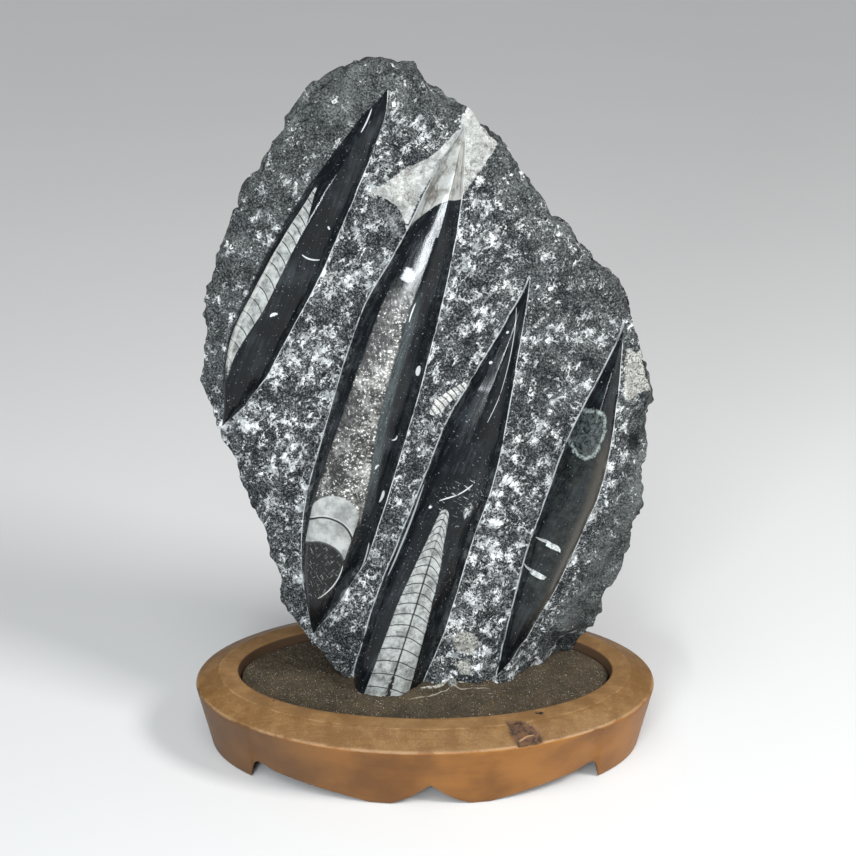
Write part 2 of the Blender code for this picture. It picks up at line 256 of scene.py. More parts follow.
def mesh_object(name, points, faces, material_rows, materials):
    mesh = bpy.data.meshes.new(name)
    corners = [tuple(map(int, face)) for face in faces]
    mesh.from_pydata([tuple(map(float, point)) for point in points], [], corners)
    for made in materials:
        mesh.materials.append(made)
    mesh.polygons.foreach_set("material_index", np.asarray(material_rows, dtype=np.int32))
    mesh.update()
    return linked(name, mesh)


def face_outward(piece, cut_height=None):
    """Turns a piece's faces outward, and cuts away what lies below a height if one is given."""
    bm = bmesh.new()
    bm.from_mesh(piece.data)
    bmesh.ops.recalc_face_normals(bm, faces=bm.faces)
    if cut_height is not None:
        everything = bm.verts[:] + bm.edges[:] + bm.faces[:]
        plane = {"plane_co": (0, 0, cut_height), "plane_no": (0, 0, 1)}
        bmesh.ops.bisect_plane(bm, geom=everything, clear_inner=True, **plane)
        bmesh.ops.holes_fill(bm, edges=[edge for edge in bm.edges if edge.is_boundary])
        bmesh.ops.triangulate(bm, faces=bm.faces)
    bm.to_mesh(piece.data)
    bm.free()


def add_attribute(piece, name, values):
    made = piece.data.attributes.new(name, "FLOAT", "POINT")
    made.data.foreach_set("value", np.asarray(values, dtype=np.float32))


def dress(piece, node, crease=None):
    """Smooths a piece, apart from creases sharper than so many degrees, and tells the frame what it is."""
    if crease:
        piece.data.shade_smooth()
        piece.data.set_sharp_from_angle(angle=math.radians(crease))
    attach(piece, "root")
    if node:
        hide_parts(node)


# Node sums

class Sum:
    """A number inside a material, which can be added, multiplied and compared as other numbers are."""

    def __init__(self, tree, socket):
        self.tree = tree
        self.socket = socket

    def run(self, operation, *others):
        node = self.tree.nodes.new("ShaderNodeMath")
        node.operation = operation
        return self.fed(node, *others)

    def fed(self, node, *others):
        """What a node gives for this number and the others."""
        for slot, value in zip(node.inputs, (self, *others)):
            join(self.tree, value, slot)
        return Sum(self.tree, node.outputs[0])

    def __add__(self, other):
        return self.run("ADD", other)

    __radd__ = __add__

    def __sub__(self, other):
        return self.run("SUBTRACT", other)

    def __rsub__(self, other):
        return self.run("MULTIPLY_ADD", -1.0, other)

    def __mul__(self, other):
        return self.run("MULTIPLY", other)

    __rmul__ = __mul__

    def __truediv__(self, other):
        return self.run("DIVIDE", other)

    def least(self, other):
        return self.run("MINIMUM", other)

    def most(self, other):
        return self.run("MAXIMUM", other)

    def size(self):
        return self.run("ABSOLUTE")

    def rise(self, low, high, bottom=0.0, top=1.0):
        """A smooth step from bottom to top as this number goes from low to high."""
        node = self.tree.nodes.new("ShaderNodeMapRange")
        node.interpolation_type = "SMOOTHSTEP"
        return self.fed(node, low, high, bottom, top)


def join(tree, value, slot):
    """Gives a node's socket a number, a colour, a direction, or what another socket says."""
    if isinstance(value, Sum):
        tree.links.new(value.socket, slot)
    elif isinstance(value, bpy.types.NodeSocket):
        tree.links.new(value, slot)
    elif isinstance(value, tuple) and slot.type == "RGBA":
        slot.default_value = (*value, 1.0)
    else:
        slot.default_value = value


def band(value, middle, half, soft):
    """One inside a band round the middle, falling softly to zero outside it."""
    return 1.0 - (value - middle).size().rise(half, half + soft)


class Paint:
    """A material under construction."""

    def __init__(self, name):
        self.material = bpy.data.materials.new(name)
        self.material.use_nodes = True
        self.tree = self.material.node_tree
        self.shader = self.tree.nodes["Principled BSDF"]
        self.colour = None
        self.place = self.node("TexCoord").outputs["Object"]
        split = self.node("SeparateXYZ", Vector=self.place)
        self.x, self.y, self.z = [Sum(self.tree, socket) for socket in split.outputs]

    def node(self, kind, **inputs):
        """A new node with its named inputs set or linked."""
        made = self.tree.nodes.new("ShaderNode" + kind)
        for name, value in inputs.items():
            join(self.tree, value, made.inputs[name])
        return made

    def slab_plane(self):
        """Across and up on the slab's face, in millimetres."""
        start = FACE_Y * UP_Y + BED_TOP * UP_Z
        up = (self.y * UP_Y + self.z * UP_Z - start) * TO_MM
        return self.x * TO_MM, up

    def attribute(self, name):
        node = self.node("Attribute")
        node.attribute_name = name
        return Sum(self.tree, node.outputs["Fac"])

    def stretched(self, turn, scale, at=None):
        """The place turned by so many degrees in the slab's face and drawn out along its directions."""
        turned = (0.0, math.radians(turn), 0.0)
        node = self.node("Mapping", Rotation=turned, Scale=scale, Vector=at or self.place)
        node.vector_type = "TEXTURE"
        return node.outputs[0]

    def noise_node(self, size, detail, rough, at=None, lean=0.0):
        size_and_detail = {"Scale": 1.0 / size, "Detail": detail, "Roughness": rough}
        return self.node("TexNoise", Vector=at or self.place, Distortion=lean, **size_and_detail)

    def noise(self, size, detail=4.0, rough=0.6, at=None, lean=0.0):
        """Smooth noise with lumps of that size in metres."""
        return Sum(self.tree, self.noise_node(size, detail, rough, at, lean).outputs["Fac"])

    def wander(self, amount, size, detail, rough, at=None):
        """Smooth noise about zero, which moves an edge to and fro."""
        return (self.noise(size, detail, rough, at) - 0.5) * amount

    def vector_sum(self, operation, *values):
        """Sums of whole vectors, given as sockets or triples."""
        node = self.node("VectorMath")
        node.operation = operation
        for slot, value in zip(node.inputs, values):
            join(self.tree, value, slot)
        return node

    def warped(self, size, amount):
        """The place pushed about by smooth noise, so that edges wander."""
        colour = self.noise_node(size, 3.0, 0.7).outputs["Color"]
        push = self.vector_sum("MULTIPLY_ADD", colour, (2.0 * amount,) * 3, (-amount,) * 3)
        return self.vector_sum("ADD", self.place, push.outputs[0]).outputs[0]

    def stars(self, size, arms, at):
        """One at the middle of each of many scattered stars, falling to zero at the ends of their arms."""
        node = self.node("TexVoronoi", Vector=at, Scale=1.0 / size)
        away = self.vector_sum("SUBTRACT", at, node.outputs["Position"]).outputs[0]
        length = Sum(self.tree, self.vector_sum("LENGTH", away).outputs["Value"])
        towards = self.vector_sum("NORMALIZE", away).outputs[0]
        seed = self.vector_sum("SCALE", node.outputs["Color"])
        seed.inputs["Scale"].default_value = 40.0
        lobes = self.vector_sum("MULTIPLY_ADD", towards, (arms,) * 3, seed.outputs[0]).outputs[0]
        reach = self.noise(1.0, 2.0, 0.7, at=lobes).rise(0.32, 0.70, 0.15 * size, 0.95 * size)
        return (1.0 - length / reach).most(0.0)

    def mix(self, share, first, second):
        """A colour between two colours or sockets."""
        node = self.tree.nodes.new("ShaderNodeMix")
        node.data_type = "RGBA"
        for number, value in ((0, share), (6, first), (7, second)):
            join(self.tree, value, node.inputs[number])
        return node.outputs[2]

    def lay(self, share, colour):
        """Puts a colour over the material's own, as far as share says."""
        self.colour = self.mix(share, self.colour, colour)

    def between(self, share, low, high, first, second):
        """A colour that goes smoothly from the first to the second as share goes from low to high."""
        return self.mix(share.rise(low, high), first, second)

    def finish(self, roughness, height=None, depth=0.0005, specular=0.5):
        """The finished material; depth is how far its bumps reach, in metres."""
        values = {"Base Color": self.colour, "Roughness": roughness, "Specular IOR Level": specular}
        if height is not None:
            values["Normal"] = self.node("Bump", Strength=1.0, Distance=depth, Height=height).outputs[0]
        for name, value in values.items():
            join(self.tree, value, self.shader.inputs[name])
        return self.material


# Materials of the slab

BLACK = (0.005, 0.007, 0.009)
ASH = (0.20, 0.215, 0.22)
CHALK = (0.76, 0.785, 0.79)
SHELL = (0.375, 0.394, 0.382)
# The pale colour of worn lines and marks, also used for painted highlights on the first and third fossils'
# ridges
PALE_WEAR_AND_GLINT = (0.62, 0.65, 0.66)


def rock_material():
    paint = Paint("chiselled_limestone")
    calm = paint.attribute("calm")
    grain = paint.noise(0.0011, 2.0, 0.8)
    clouds = paint.noise(0.014, 3.0, 0.6)
    speck = paint.noise(0.0008, 1.0, 0.5)
    dark = paint.between(grain + clouds * 0.35 - 0.17, 0.41, 0.80, BLACK, ASH)
    dark = paint.mix(speck.rise(0.60, 0.74) * 0.45, dark, (0.42, 0.45, 0.46))
    grey = paint.between(grain + clouds * 0.5, 0.56, 0.93, (0.009, 0.011, 0.011), (0.128, 0.141, 0.137))
    paint.colour = paint.mix(calm, dark, grey)
    across, up = paint.slab_plane()
    hollow, rim = rock_hollow_and_rim_shade(across, up)
    pit_reach = circle(across * 1.7, up, (PIT_CENTRE[0] * 1.7, PIT_CENTRE[1])) + (grain - 0.5) * 9.0
    pit = 1.0 - pit_reach.rise(3.5, 8.0)
    pale = rock_bruises(paint, calm, grain, clouds) * (1.0 - hollow * 0.8) * (1.0 - pit)
    # painted shade: a near-black line along the hollow's upper right rim; the pit is painted near-black as
    # well
    paint.lay((rim * 0.9).most(pit * 0.85), (0.004, 0.004, 0.004))
    chalk = paint.between(paint.noise(0.006, 3.0, 0.7), 0.38, 0.60, (0.33, 0.35, 0.355), CHALK)
    paint.lay(pale * grain.rise(0.20, 0.50, 0.6, 1.0), chalk)
    rock_fossil(paint, grain)
    line = (1.0 - paint.attribute("edge").rise(0.06, 0.48)) * paint.noise(0.006, 3.0, 0.6).rise(0.38, 0.52)
    paint.lay(line * 0.8, PALE_WEAR_AND_GLINT)
    vein = (paint.attribute("vein") + paint.wander(2.4, 0.004, 4.0, 0.7)).rise(-0.3, 0.3)
    milk = paint.between(grain * 0.6 + clouds * 0.5, 0.36, 0.60, (0.11, 0.10, 0.085), (0.40, 0.41, 0.395))
    milk = paint.between(paint.noise(0.005, 4.0, 0.7), 0.44, 0.66, milk, (0.58, 0.59, 0.575))
    paint.lay(vein, milk)
    cream = (paint.attribute("patch") + paint.wander(5.0, 0.003, 4.0, 0.7)).rise(-0.5, 1.2)
    cream_tone = paint.between(grain, 0.36, 0.56, (0.09, 0.09, 0.08), (0.52, 0.52, 0.48))
    paint.lay(cream * 0.8, cream_tone)
    height = grain * 0.8 + paint.noise(0.0032, 4.0, 0.7) * 1.2 + pale * 0.25
    return paint.finish(0.60 + grain * 0.25, height, 0.0012, 0.2)


def rock_hollow_and_rim_shade(across, up):
    """The smooth hollow by the vein and the line of painted shade round it, both on its upper right alone."""
    right_of = (across - HOLLOW_CENTRE[0] + 4.0).rise(0.0, 5.0)
    above = (up - HOLLOW_CENTRE[1] + 7.0).rise(0.0, 5.0)
    reach = circle(across, up, HOLLOW_CENTRE)
    hollow = band(reach, HOLLOW_RADIUS - 4.5, 3.0, 3.0) * right_of * above
    return hollow, band(reach, HOLLOW_RADIUS, 0.35, 0.5) * right_of * above


def rock_bruises(paint, calm, grain, clouds):
    """Pale star-shaped and brushed chisel bruises, thick in the middle and scarce at calm edges."""
    wandering = paint.warped(0.0024, 0.0030)
    swept = paint.warped(0.022, 0.008)
    along_rise = paint.stretched(40.0, (1.0, 1.0, 3.4), at=swept)
    along_fall = paint.stretched(-46.0, (1.0, 1.0, 3.0), at=swept)
    large = paint.stars(0.0092, 1.4, wandering)
    brushed = paint.stars(0.0036, 1.1, along_rise)
    patchy = paint.noise(0.011, 2.0, 0.6)
    wisps = paint.wander(1.0, 0.0042, 3.0, 0.6, at=along_rise).size().rise(0.0, 0.055, 1.0, 0.0)
    crossed = paint.wander(1.0, 0.0040, 3.0, 0.6, at=along_fall).size().rise(0.0, 0.05, 1.0, 0.0)
    wisps = wisps * patchy.rise(0.44, 0.62)
    crossed = crossed * patchy.rise(0.40, 0.56, 1.0, 0.0)
    scraped = paint.wander(2.2, 0.0020, 4.0, 0.8, at=along_rise)
    fuzz = (grain - 0.5) * 1.7 + scraped + (clouds - 0.5) * 2.0
    total = large * 1.25 + brushed * 0.75 + wisps * 0.70 + crossed * 0.60 + fuzz - calm * 0.85
    return total.rise(0.38, 1.12)


def rock_fossil(paint, grain):
    """A small broken fossil in the rock, pale with thin dark lines across it."""
    across, up = paint.slab_plane()
    inside_it = (paint.attribute("little") + paint.wander(1.6, 0.003, 3.0, 0.7)).rise(0.0, 0.5)
    below, beside = cone(across, up, (22.0, 178.0), 50.0)
    lines = septa(below - beside * beside * 0.05, 2.6, 0.03, 0.0, 0.35)
    tone = paint.between(grain, 0.35, 0.6, (0.42, 0.42, 0.40), (0.78, 0.78, 0.76))
    paint.lay(inside_it, paint.mix(lines * 0.85, tone, BLACK))


def polish(paint):
    """Lays the dark polish that all the fossils share. Returns its roughness and the streaks in it."""
    streaks = paint.noise(0.0013, 3.0, 0.6, at=paint.stretched(22.0, (1.0, 1.0, 34.0)))
    clouds = paint.noise(0.016, 4.0, 0.65)
    specks = paint.noise(0.0011, 1.0, 0.6)
    black, slate = (0.003, 0.0042, 0.0055), (0.026, 0.033, 0.038)
    paint.colour = paint.between(streaks * 0.5 + clouds * 0.8, 0.58, 0.95, black, slate)
    paint.lay(specks.rise(0.70, 0.78) * 0.65, (0.34, 0.37, 0.38))
    return 0.12 + streaks * 0.14, streaks


def outline_wear(paint, where=1.0):
    """Adds the pale worn line where a fossil meets the rock."""
    broken = paint.noise(0.008, 3.0, 0.7).rise(0.35, 0.50) * where
    paint.lay((1.0 - paint.attribute("edge").rise(0.10, 0.44)) * broken * 0.85, PALE_WEAR_AND_GLINT)


def cone(across, up, apex, lean):
    """Millimetres below an apex and to the right of a middle line that leans by so many degrees."""
    down_x = -math.sin(math.radians(lean))
    down_y = -math.cos(math.radians(lean))
    below = (across - apex[0]) * down_x + (up - apex[1]) * down_y
    beside = (across - apex[0]) * -down_y + (up - apex[1]) * down_x
    return below, beside


def septa(length, first, growth, shift, half):
    """Thin lines whose spacing starts at first and grows with the distance from the apex."""
    turns = (length * (growth / first) + 1.0).most(0.01).run("LOGARITHM", math.e) / growth + shift
    away = 0.5 - (turns.run("FRACT") - 0.5).size()
    spacing = length.most(0.0) * growth + first
    return 1.0 - (away * spacing).rise(half - 0.12, half + 0.14)


def within(low, value, high, low_soft, high_soft):
    """One where a value lies between two limits, with soft ends."""
    return (high - value).rise(-high_soft, high_soft) * (value - low).rise(-low_soft, low_soft)


def stroke(across, up, start, end, bend, half):
    """A thin bent line from start to end, thinner towards both: places and sizes in millimetres."""
    step_x = end[0] - start[0]
    step_y = end[1] - start[1]
    length = math.hypot(step_x, step_y)
    x = across - start[0]
    y = up - start[1]
    along = (x * (step_x / length) + y * (step_y / length)) / length
    beside = y * (step_x / length) - x * (step_y / length)
    bow = along * (1.0 - along) * 4.0
    width = bow.most(0.0).run("SQRT") * half
    away = (beside - bow * bend).size()
    return (width - away).rise(-0.22, 0.14) * bow.rise(0.0, 0.1)


def strokes(across, up, rows):
    """Several thin bent lines, each with its start, end, bend and half width."""
    made = stroke(across, up, *rows[0])
    for row in rows[1:]:
        made = made.most(stroke(across, up, *row))
    return made


def shell_colour(paint):
    """The chalky filling of the chambers, mottled and a little dirty."""
    cloud = paint.noise(0.005, 4.0, 0.75)
    fine = paint.noise(0.0011, 3.0, 0.75)
    clean = paint.between(cloud + fine * 0.3, 0.44, 0.80, (0.105, 0.112, 0.108), SHELL)
    return paint.mix(fine.rise(0.56, 0.70) * 0.5, clean, (0.085, 0.090, 0.083))


def first_material():
    paint = Paint("first_fossil_polish")
    across, up = paint.slab_plane()
    share = paint.attribute("share")
    roughness, streaks = polish(paint)
    below, beside = cone(across, up, (-53.0, 281.0), 27.0)
    wobble = paint.wander(1.2, 0.006, 3.0, 0.6)
    right_limit = up.rise(179.0, 222.0, 0.14, 0.385).least(up.rise(258.0, 288.0, 0.40, 0.16))
    left_limit = up.rise(200.0, 282.0, 0.06, 0.14)
    ragged = up + wobble * 6.0 + paint.wander(22.0, 0.0014, 2.0, 0.8)
    strip = within(left_limit, share, right_limit + wobble * 0.008, 0.006, 0.006)
    strip = strip * (below + wobble).rise(-0.4, 0.6) * ragged.rise(182.0, 190.0)
    curve = (beside + 6.0) * (beside + 6.0) * (below * 0.0005 + 0.044)
    lines = septa(below - curve, 4.1, 0.055, -0.5, 0.32)
    shell = paint.mix(lines * 0.92, shell_colour(paint), (0.02, 0.022, 0.022))
    worn_edge = band(share, 0.115, 0.02, 0.02) * 0.25
    paint.lay(strip, paint.mix(worn_edge, shell, (0.78, 0.78, 0.72)))
    # The second stroke is a painted highlight along the ridge near the upper point; the others are pale
    # marks.
    marks = strokes(across, up, [
        ((-62.2, 248.3), (-53.5, 244.3), -1.0, 0.36), ((-26.2, 320.3), (-31.7, 308.8), 0.4, 0.28),
        ((-79.5, 216.0), (-75.5, 217.3), 0.5, 0.8), ((-49.0, 262.0), (-48.2, 260.0), 0.0, 0.4),
    ])
    paint.lay(marks * 0.85, PALE_WEAR_AND_GLINT)
    outline_wear(paint, share.rise(0.2, 0.6))
    height = streaks * 0.3 - lines * strip * 0.6
    return paint.finish(roughness + strip * 0.15, height, 0.0002, 0.26)


def circle(across, up, centre, down_scale=1.0):
    """Distance from a centre, with the part under it squeezed by down_scale."""
    x = across - centre[0]
    y = up - centre[1]
    if down_scale != 1.0:
        y = y.most(0.0) + y.least(0.0) * down_scale
    return (x * x + y * y).run("SQRT")


def calcite(paint, share):
    """The mottled crystals that fill the second fossil's front, darker to the left."""
    crystal = paint.noise(0.0026, 5.0, 0.8, lean=0.4)
    cloud = paint.noise(0.015, 4.0, 0.65)
    sparkle = paint.noise(0.0013, 2.0, 0.75)
    right = share.rise(0.2, 0.52)
    dark, grey = (0.008, 0.008, 0.008), (0.132, 0.129, 0.123)
    tone = paint.between(crystal + cloud * 0.4 + right * 0.06, 0.60, 0.92, dark, grey)
    light = (cloud + crystal * 0.4 + right * 0.10).rise(0.74, 0.98)
    tone = paint.mix(light * 0.65, tone, (0.38, 0.375, 0.36))
    bright = (sparkle + cloud * 0.25 + right * 0.05).rise(0.72, 0.82)
    tone = paint.mix(bright * 0.85, tone, (0.80, 0.80, 0.77))
    return paint.between(crystal - sparkle * 0.4, 0.12, 0.28, (0.012, 0.012, 0.012), tone)


def second_cap(paint, across, up, wobble):
    """Lays the pale chamber at the foot of the calcite, and the dark one with needles. Returns the first."""
    right_side = (across * -1.0 - 35.3 + (up - 106.0) * 0.33).rise(-0.3, 0.3)
    left_side = (across + 61.4 + (106.0 - up) * 0.21).rise(-0.3, 0.3)
    low = circle(across, up, (-57.5, 78.5), 0.62)
    top = (13.2 - circle(across, up, (-48.5, 106.2)) + wobble * 0.12).rise(-0.4, 0.4)
    cap = top.most((106.5 - up).rise(-0.2, 0.4)) * right_side * left_side
    cap = cap * (low - 13.1).rise(-0.2, 0.2) * (up - 76.0).rise(0.0, 2.0)
    cloud = paint.noise(0.009, 4.0, 0.6)
    tone = paint.between(cloud, 0.35, 0.65, (0.36, 0.375, 0.365), (0.175, 0.185, 0.178))
    dirt = paint.noise(0.0017, 4.0, 0.8).rise(0.58, 0.68) * (up * -1.0 + 112.0).rise(0.0, 25.0, 0.55, 0.95)
    tone = paint.mix(dirt, tone, (0.035, 0.045, 0.040))
    septum = circle(across, up, (-54.0, 91.8))
    tone = paint.mix(band(septum, 15.0, 0.36, 0.3), tone, (0.010, 0.010, 0.010))
    tone = paint.mix(band(septum, 15.9, 0.2, 0.4) * 0.35, tone, (0.55, 0.56, 0.55))
    tone = paint.mix(band(low, 13.6, 0.4, 0.5) * 0.9, tone, (0.008, 0.008, 0.008))
    paint.lay(cap, tone)
    dark = (13.2 - low).rise(-0.2, 0.2) * (across + 63.8).rise(-0.3, 0.3)
    needles, crossing = [
        paint.noise(0.0007, 2.0, 0.7, at=paint.stretched(turn, (1.0, 1.0, 8.0))) for turn in (50.0, -25.0)
    ]
    paint.lay(dark, (0.006, 0.007, 0.007))
    paint.lay(dark * needles.most(crossing).rise(0.60, 0.72) * 0.7, (0.26, 0.27, 0.26))
    arc = stroke(across, up, (-44.3, 78.7), (-58.9, 57.3), 2.7, 0.3)
    paint.lay(arc * 0.7, PALE_WEAR_AND_GLINT)
    return cap


def second_material():
    paint = Paint("second_fossil_polish")
    across, up = paint.slab_plane()
    share = paint.attribute("share")
    roughness, streaks = polish(paint)
    wobble = paint.wander(5.0, 0.006, 4.0, 0.7)
    grain = paint.noise(0.0013, 2.0, 0.8)
    right_limit = up.rise(104.0, 172.0, 0.73, 0.58)
    left_limit = up.rise(105.0, 225.0, 0.105, 0.20)
    filled = (right_limit - share + wobble * 0.012).rise(-0.015, 0.015)
    filled = filled * (share - left_limit).rise(-0.008, 0.010)
    fading = (up + share * 8.0 + wobble * 1.6 + (grain - 0.5) * 14.0).rise(222.0, 242.0)
    filled = filled * (up - 100.0).rise(0.0, 1.0) * (1.0 - fading)
    # painted sheen: a soft bluish-grey band right of the calcite, running down from the ridge's highlight,
    # with pale specks in it
    painted_sheen_band = band(share - right_limit, 0.055, 0.03, 0.06) * (up - 104.0).rise(0.0, 30.0) * (1.0 - fading)
    sheen_tone = paint.between(streaks, 0.3, 0.7, (0.020, 0.027, 0.029), (0.062, 0.076, 0.080))
    paint.lay(painted_sheen_band * 0.8, sheen_tone)
    paint.lay(painted_sheen_band * grain.rise(0.62, 0.70) * 0.5, (0.40, 0.42, 0.42))
    paint.lay(filled, calcite(paint, share))
    cap = second_cap(paint, across, up, wobble)

    vein = (paint.attribute("vein") + wobble * 0.12).rise(-0.25, 0.25)
    milk = paint.noise(0.007, 4.0, 0.7) + share * 0.12
    glassy = paint.between(milk, 0.36, 0.66, (0.12, 0.115, 0.10), (0.36, 0.37, 0.355))
    glassy = paint.mix(grain.rise(0.60, 0.70) * 0.4, glassy, (0.52, 0.52, 0.50))
    cracks = strokes(across, up, [
        ((-2.0, 266.5), (12.0, 292.5), 1.6, 0.45), ((2.6, 271.0), (6.4, 283.0), -1.0, 0.4),
        ((12.0, 276.5), (17.5, 300.0), -0.4, 0.3), ((17.8, 275.5), (20.6, 307.0), 0.3, 0.25),
    ])
    glassy = paint.mix(cracks * 0.55, glassy, (0.10, 0.085, 0.065))
    paint.lay(vein, glassy)
    patch = (paint.attribute("patch") + wobble * 0.5 + (grain - 0.5) * 2.5).rise(-0.4, 0.8)
    paint.lay(patch * 0.85, (0.55, 0.57, 0.57))
    marks = strokes(across, up, [
        ((-3.6, 182.6), (-3.0, 188.2), 0.2, 1.2), ((-24.4, 112.0), (-22.2, 118.6), -0.5, 0.8),
        ((-17.6, 148.8), (-14.6, 150.6), -1.2, 0.5), ((-26.2, 133.6), (-24.2, 135.8), 0.4, 0.6),
        ((-30.4, 88.0), (-38.0, 64.0), 1.0, 0.35), ((-8.0, 214.0), (-4.6, 224.0), 0.3, 0.3),
    ])
    paint.lay(marks * 0.85, PALE_WEAR_AND_GLINT)
    outline_wear(paint)
    height = streaks * 0.3 + grain * filled * 0.8
    return paint.finish(roughness + filled * 0.16 + cap * 0.1, height, 0.00022, 0.32)


def third_material():
    paint = Paint("third_fossil_polish")
    across, up = paint.slab_plane()
    roughness, streaks = polish(paint)
    below, beside = cone(across, up, (10.6, 109.0), 16.3)
    wobble = paint.wander(1.2, 0.006, 3.0, 0.6)
    right_edge = (below * 0.137 + 2.4).least(below * 0.062 + 5.2)
    left_edge = (below * 0.125 + 2.3).least(below * 0.045 + 6.9)
    strip = within(left_edge * -1.0 - wobble * 0.6, beside, right_edge + wobble, 0.25, 0.25)
    strip = strip * (below + 2.0 - beside * beside * 0.35 + wobble).rise(-0.3, 0.3)
    curve = beside * beside / (below * 0.43 - 4.0).most(2.8)
    lines = septa(below - curve, 3.7, 0.05, -0.05, 0.32)
    shell = paint.mix(lines * 0.92, shell_colour(paint), (0.02, 0.021, 0.02))
    tube = (beside - 0.3 + wobble * 0.5).size()
    thin = (1.0 - tube.rise(0.32, 0.6)) * below.rise(22.0, 32.0, 0.45, 0.95)
    wide = (1.0 - (tube - below.rise(88.0, 116.0, 0.0, 1.1)).rise(0.2, 0.8)) * below.rise(84.0, 92.0)
    shell = paint.mix(thin, shell, (0.018, 0.018, 0.018))
    shell = paint.mix(wide * paint.noise(0.003).rise(0.40, 0.54), shell, (0.015, 0.015, 0.015))
    paint.lay(strip, shell)
    # The two strokes from (47.5, 219.4) down to (32.8, 158.4) are a painted highlight along the inner ridge;
    # the others are pale marks.
    marks = strokes(across, up, [
        ((-0.4, 122.2), (-20.5, 68.9), 0.6, 0.28), ((47.5, 219.4), (39.5, 173.1), 1.6, 0.12),
        ((39.5, 173.1), (32.8, 158.4), 0.3, 0.12), ((7.6, 115.4), (17.1, 118.8), 0.2, 0.3),
        ((17.1, 118.8), (25.6, 124.5), -0.3, 0.3), ((2.2, 111.0), (3.6, 112.2), 0.0, 0.6),
        ((33.6, 189.6), (35.2, 190.8), 0.0, 0.6), ((42.4, 205.6), (43.6, 206.8), 0.0, 0.5),
    ])
    paint.lay(marks * 0.8, PALE_WEAR_AND_GLINT)
    blotch = (paint.attribute("patch") + wobble * 2.0).rise(-0.6, 1.0)
    blotch = blotch * paint.noise(0.002, 4.0, 0.8).rise(0.42, 0.58)
    paint.lay(blotch * 0.75, PALE_WEAR_AND_GLINT)
    scratch = paint.noise(0.0009, 2.0, 0.7, at=paint.stretched(-60.0, (1.0, 1.0, 8.0)))
    scratched = band(across, 19.0, 12.0, 6.0) * band(up - across * 0.25, 112.0, 7.0, 5.0)
    paint.lay(scratched * scratch.rise(0.61, 0.70) * 0.7, (0.45, 0.46, 0.46))
    outline_wear(paint)
    height = streaks * 0.3 - lines * strip * 0.6
    return paint.finish(roughness + strip * 0.15, height, 0.0002, 0.26)


def fourth_material():
    paint = Paint("fourth_fossil_polish")
    across, up = paint.slab_plane()
    share = paint.attribute("share")
    roughness, streaks = polish(paint)
    cloud = paint.noise(0.006, 4.0, 0.75)
    body = 1.0 - (up - 92.0).size().rise(40.0, 62.0)
    paint.lay(body * (cloud + share * 0.1).rise(0.40, 0.72) * 0.6, (0.030, 0.036, 0.032))
    paint.lay(body * share.rise(0.62, 0.85) * 0.75, (0.055, 0.048, 0.038))
    smoky = paint.noise(0.0022, 4.0, 0.8).rise(0.38, 0.62)
    ring = paint.attribute("patch") + (cloud - 0.5) * 3.0
    paint.lay(ring.rise(-0.5, 2.5) * smoky * 0.22, (0.25, 0.29, 0.28))
    paint.lay(band(ring, 1.0, 0.4, 1.2) * smoky * 0.8, (0.30, 0.35, 0.34))
    marks = strokes(across, up, [
        ((60.0, 91.9), (73.6, 84.0), 1.9, 0.9), ((54.0, 73.8), (66.4, 69.0), 0.5, 0.9),
        ((65.4, 88.8), (73.4, 84.8), 1.2, 1.5), ((57.4, 71.6), (65.4, 68.4), 0.4, 1.4),
    ])
    paint.lay(marks * (smoky * 0.65 + 0.3), (0.60, 0.64, 0.63))
    outline_wear(paint)
    return paint.finish(roughness, streaks * 0.3, 0.0002, 0.26)


# Slab mesh

def spline(before, start, end, after, share):
    a = 2.0 * start
    b = end - before
    c = 2.0 * before - 5.0 * start + 4.0 * end - after
    d = -before + 3.0 * start - 3.0 * end + after
    return 0.5 * (a + share * (b + share * (c + share * d)))


def fossil_rows(sections):
    """Sections of one fossil at short even steps, in metres."""
    rows = [np.array(section) * MM for section in sections]
    rows = [rows[0], *rows, rows[-1]]
    made = [rows[0]]
    for before, start, end, after in zip(rows, rows[1:], rows[2:], rows[3:]):
        steps = max(2, round((end[0] - start[0]) / ROW_STEP))
        for step in range(1, steps + 1):
            share = step / steps
            row = spline(before, start, end, after, share)
            row[0] = start[0] + (end[0] - start[0]) * share
            row[2] = max(row[2], row[1] + 0.0002)
            row[3] = max(row[3], 0.0)
            made.append(row)
    return np.array(made)


def fossil_loop(rows):
    """A fossil's outline: up its left edge and down its right one."""
    return np.concatenate([rows[:, [1, 0]], rows[1:-1, [2, 0]][::-1]])


def profile_heights(profile, shares):
    """A profile's heights at those shares of its width, with its corners softened."""
    across, rise = np.array(profile, dtype=float).T
    shifted = [np.clip(shares + offset, 0.0, 1.0) for offset in (-0.02, -0.01, 0.0, 0.01, 0.02)]
    soft = np.mean([np.interp(places, across, rise) for places in shifted], axis=0)
    soft[0] = 0.0
    soft[-1] = 0.0
    return soft


def column_shares():
    """Shares of the width, closer together at the steep left and right walls."""
    even = np.linspace(0.0, 1.0, COLUMNS)
    return np.clip(even + 0.085 * np.sin(2.0 * math.pi * (even - 0.5)), 0.0, 1.0)


def edge_points():
    """Points at even steps along the slab's outline."""
    corners = [np.array(corner) * MM for corner in SLAB_OUTLINE]
    points = []
    for start, end in zip(corners, corners[1:] + corners[:1]):
        steps = max(1, round(np.linalg.norm(end - start) / OUTLINE_STEP))
        points += [start + (end - start) * step / steps for step in range(steps)]
    return np.array(points)


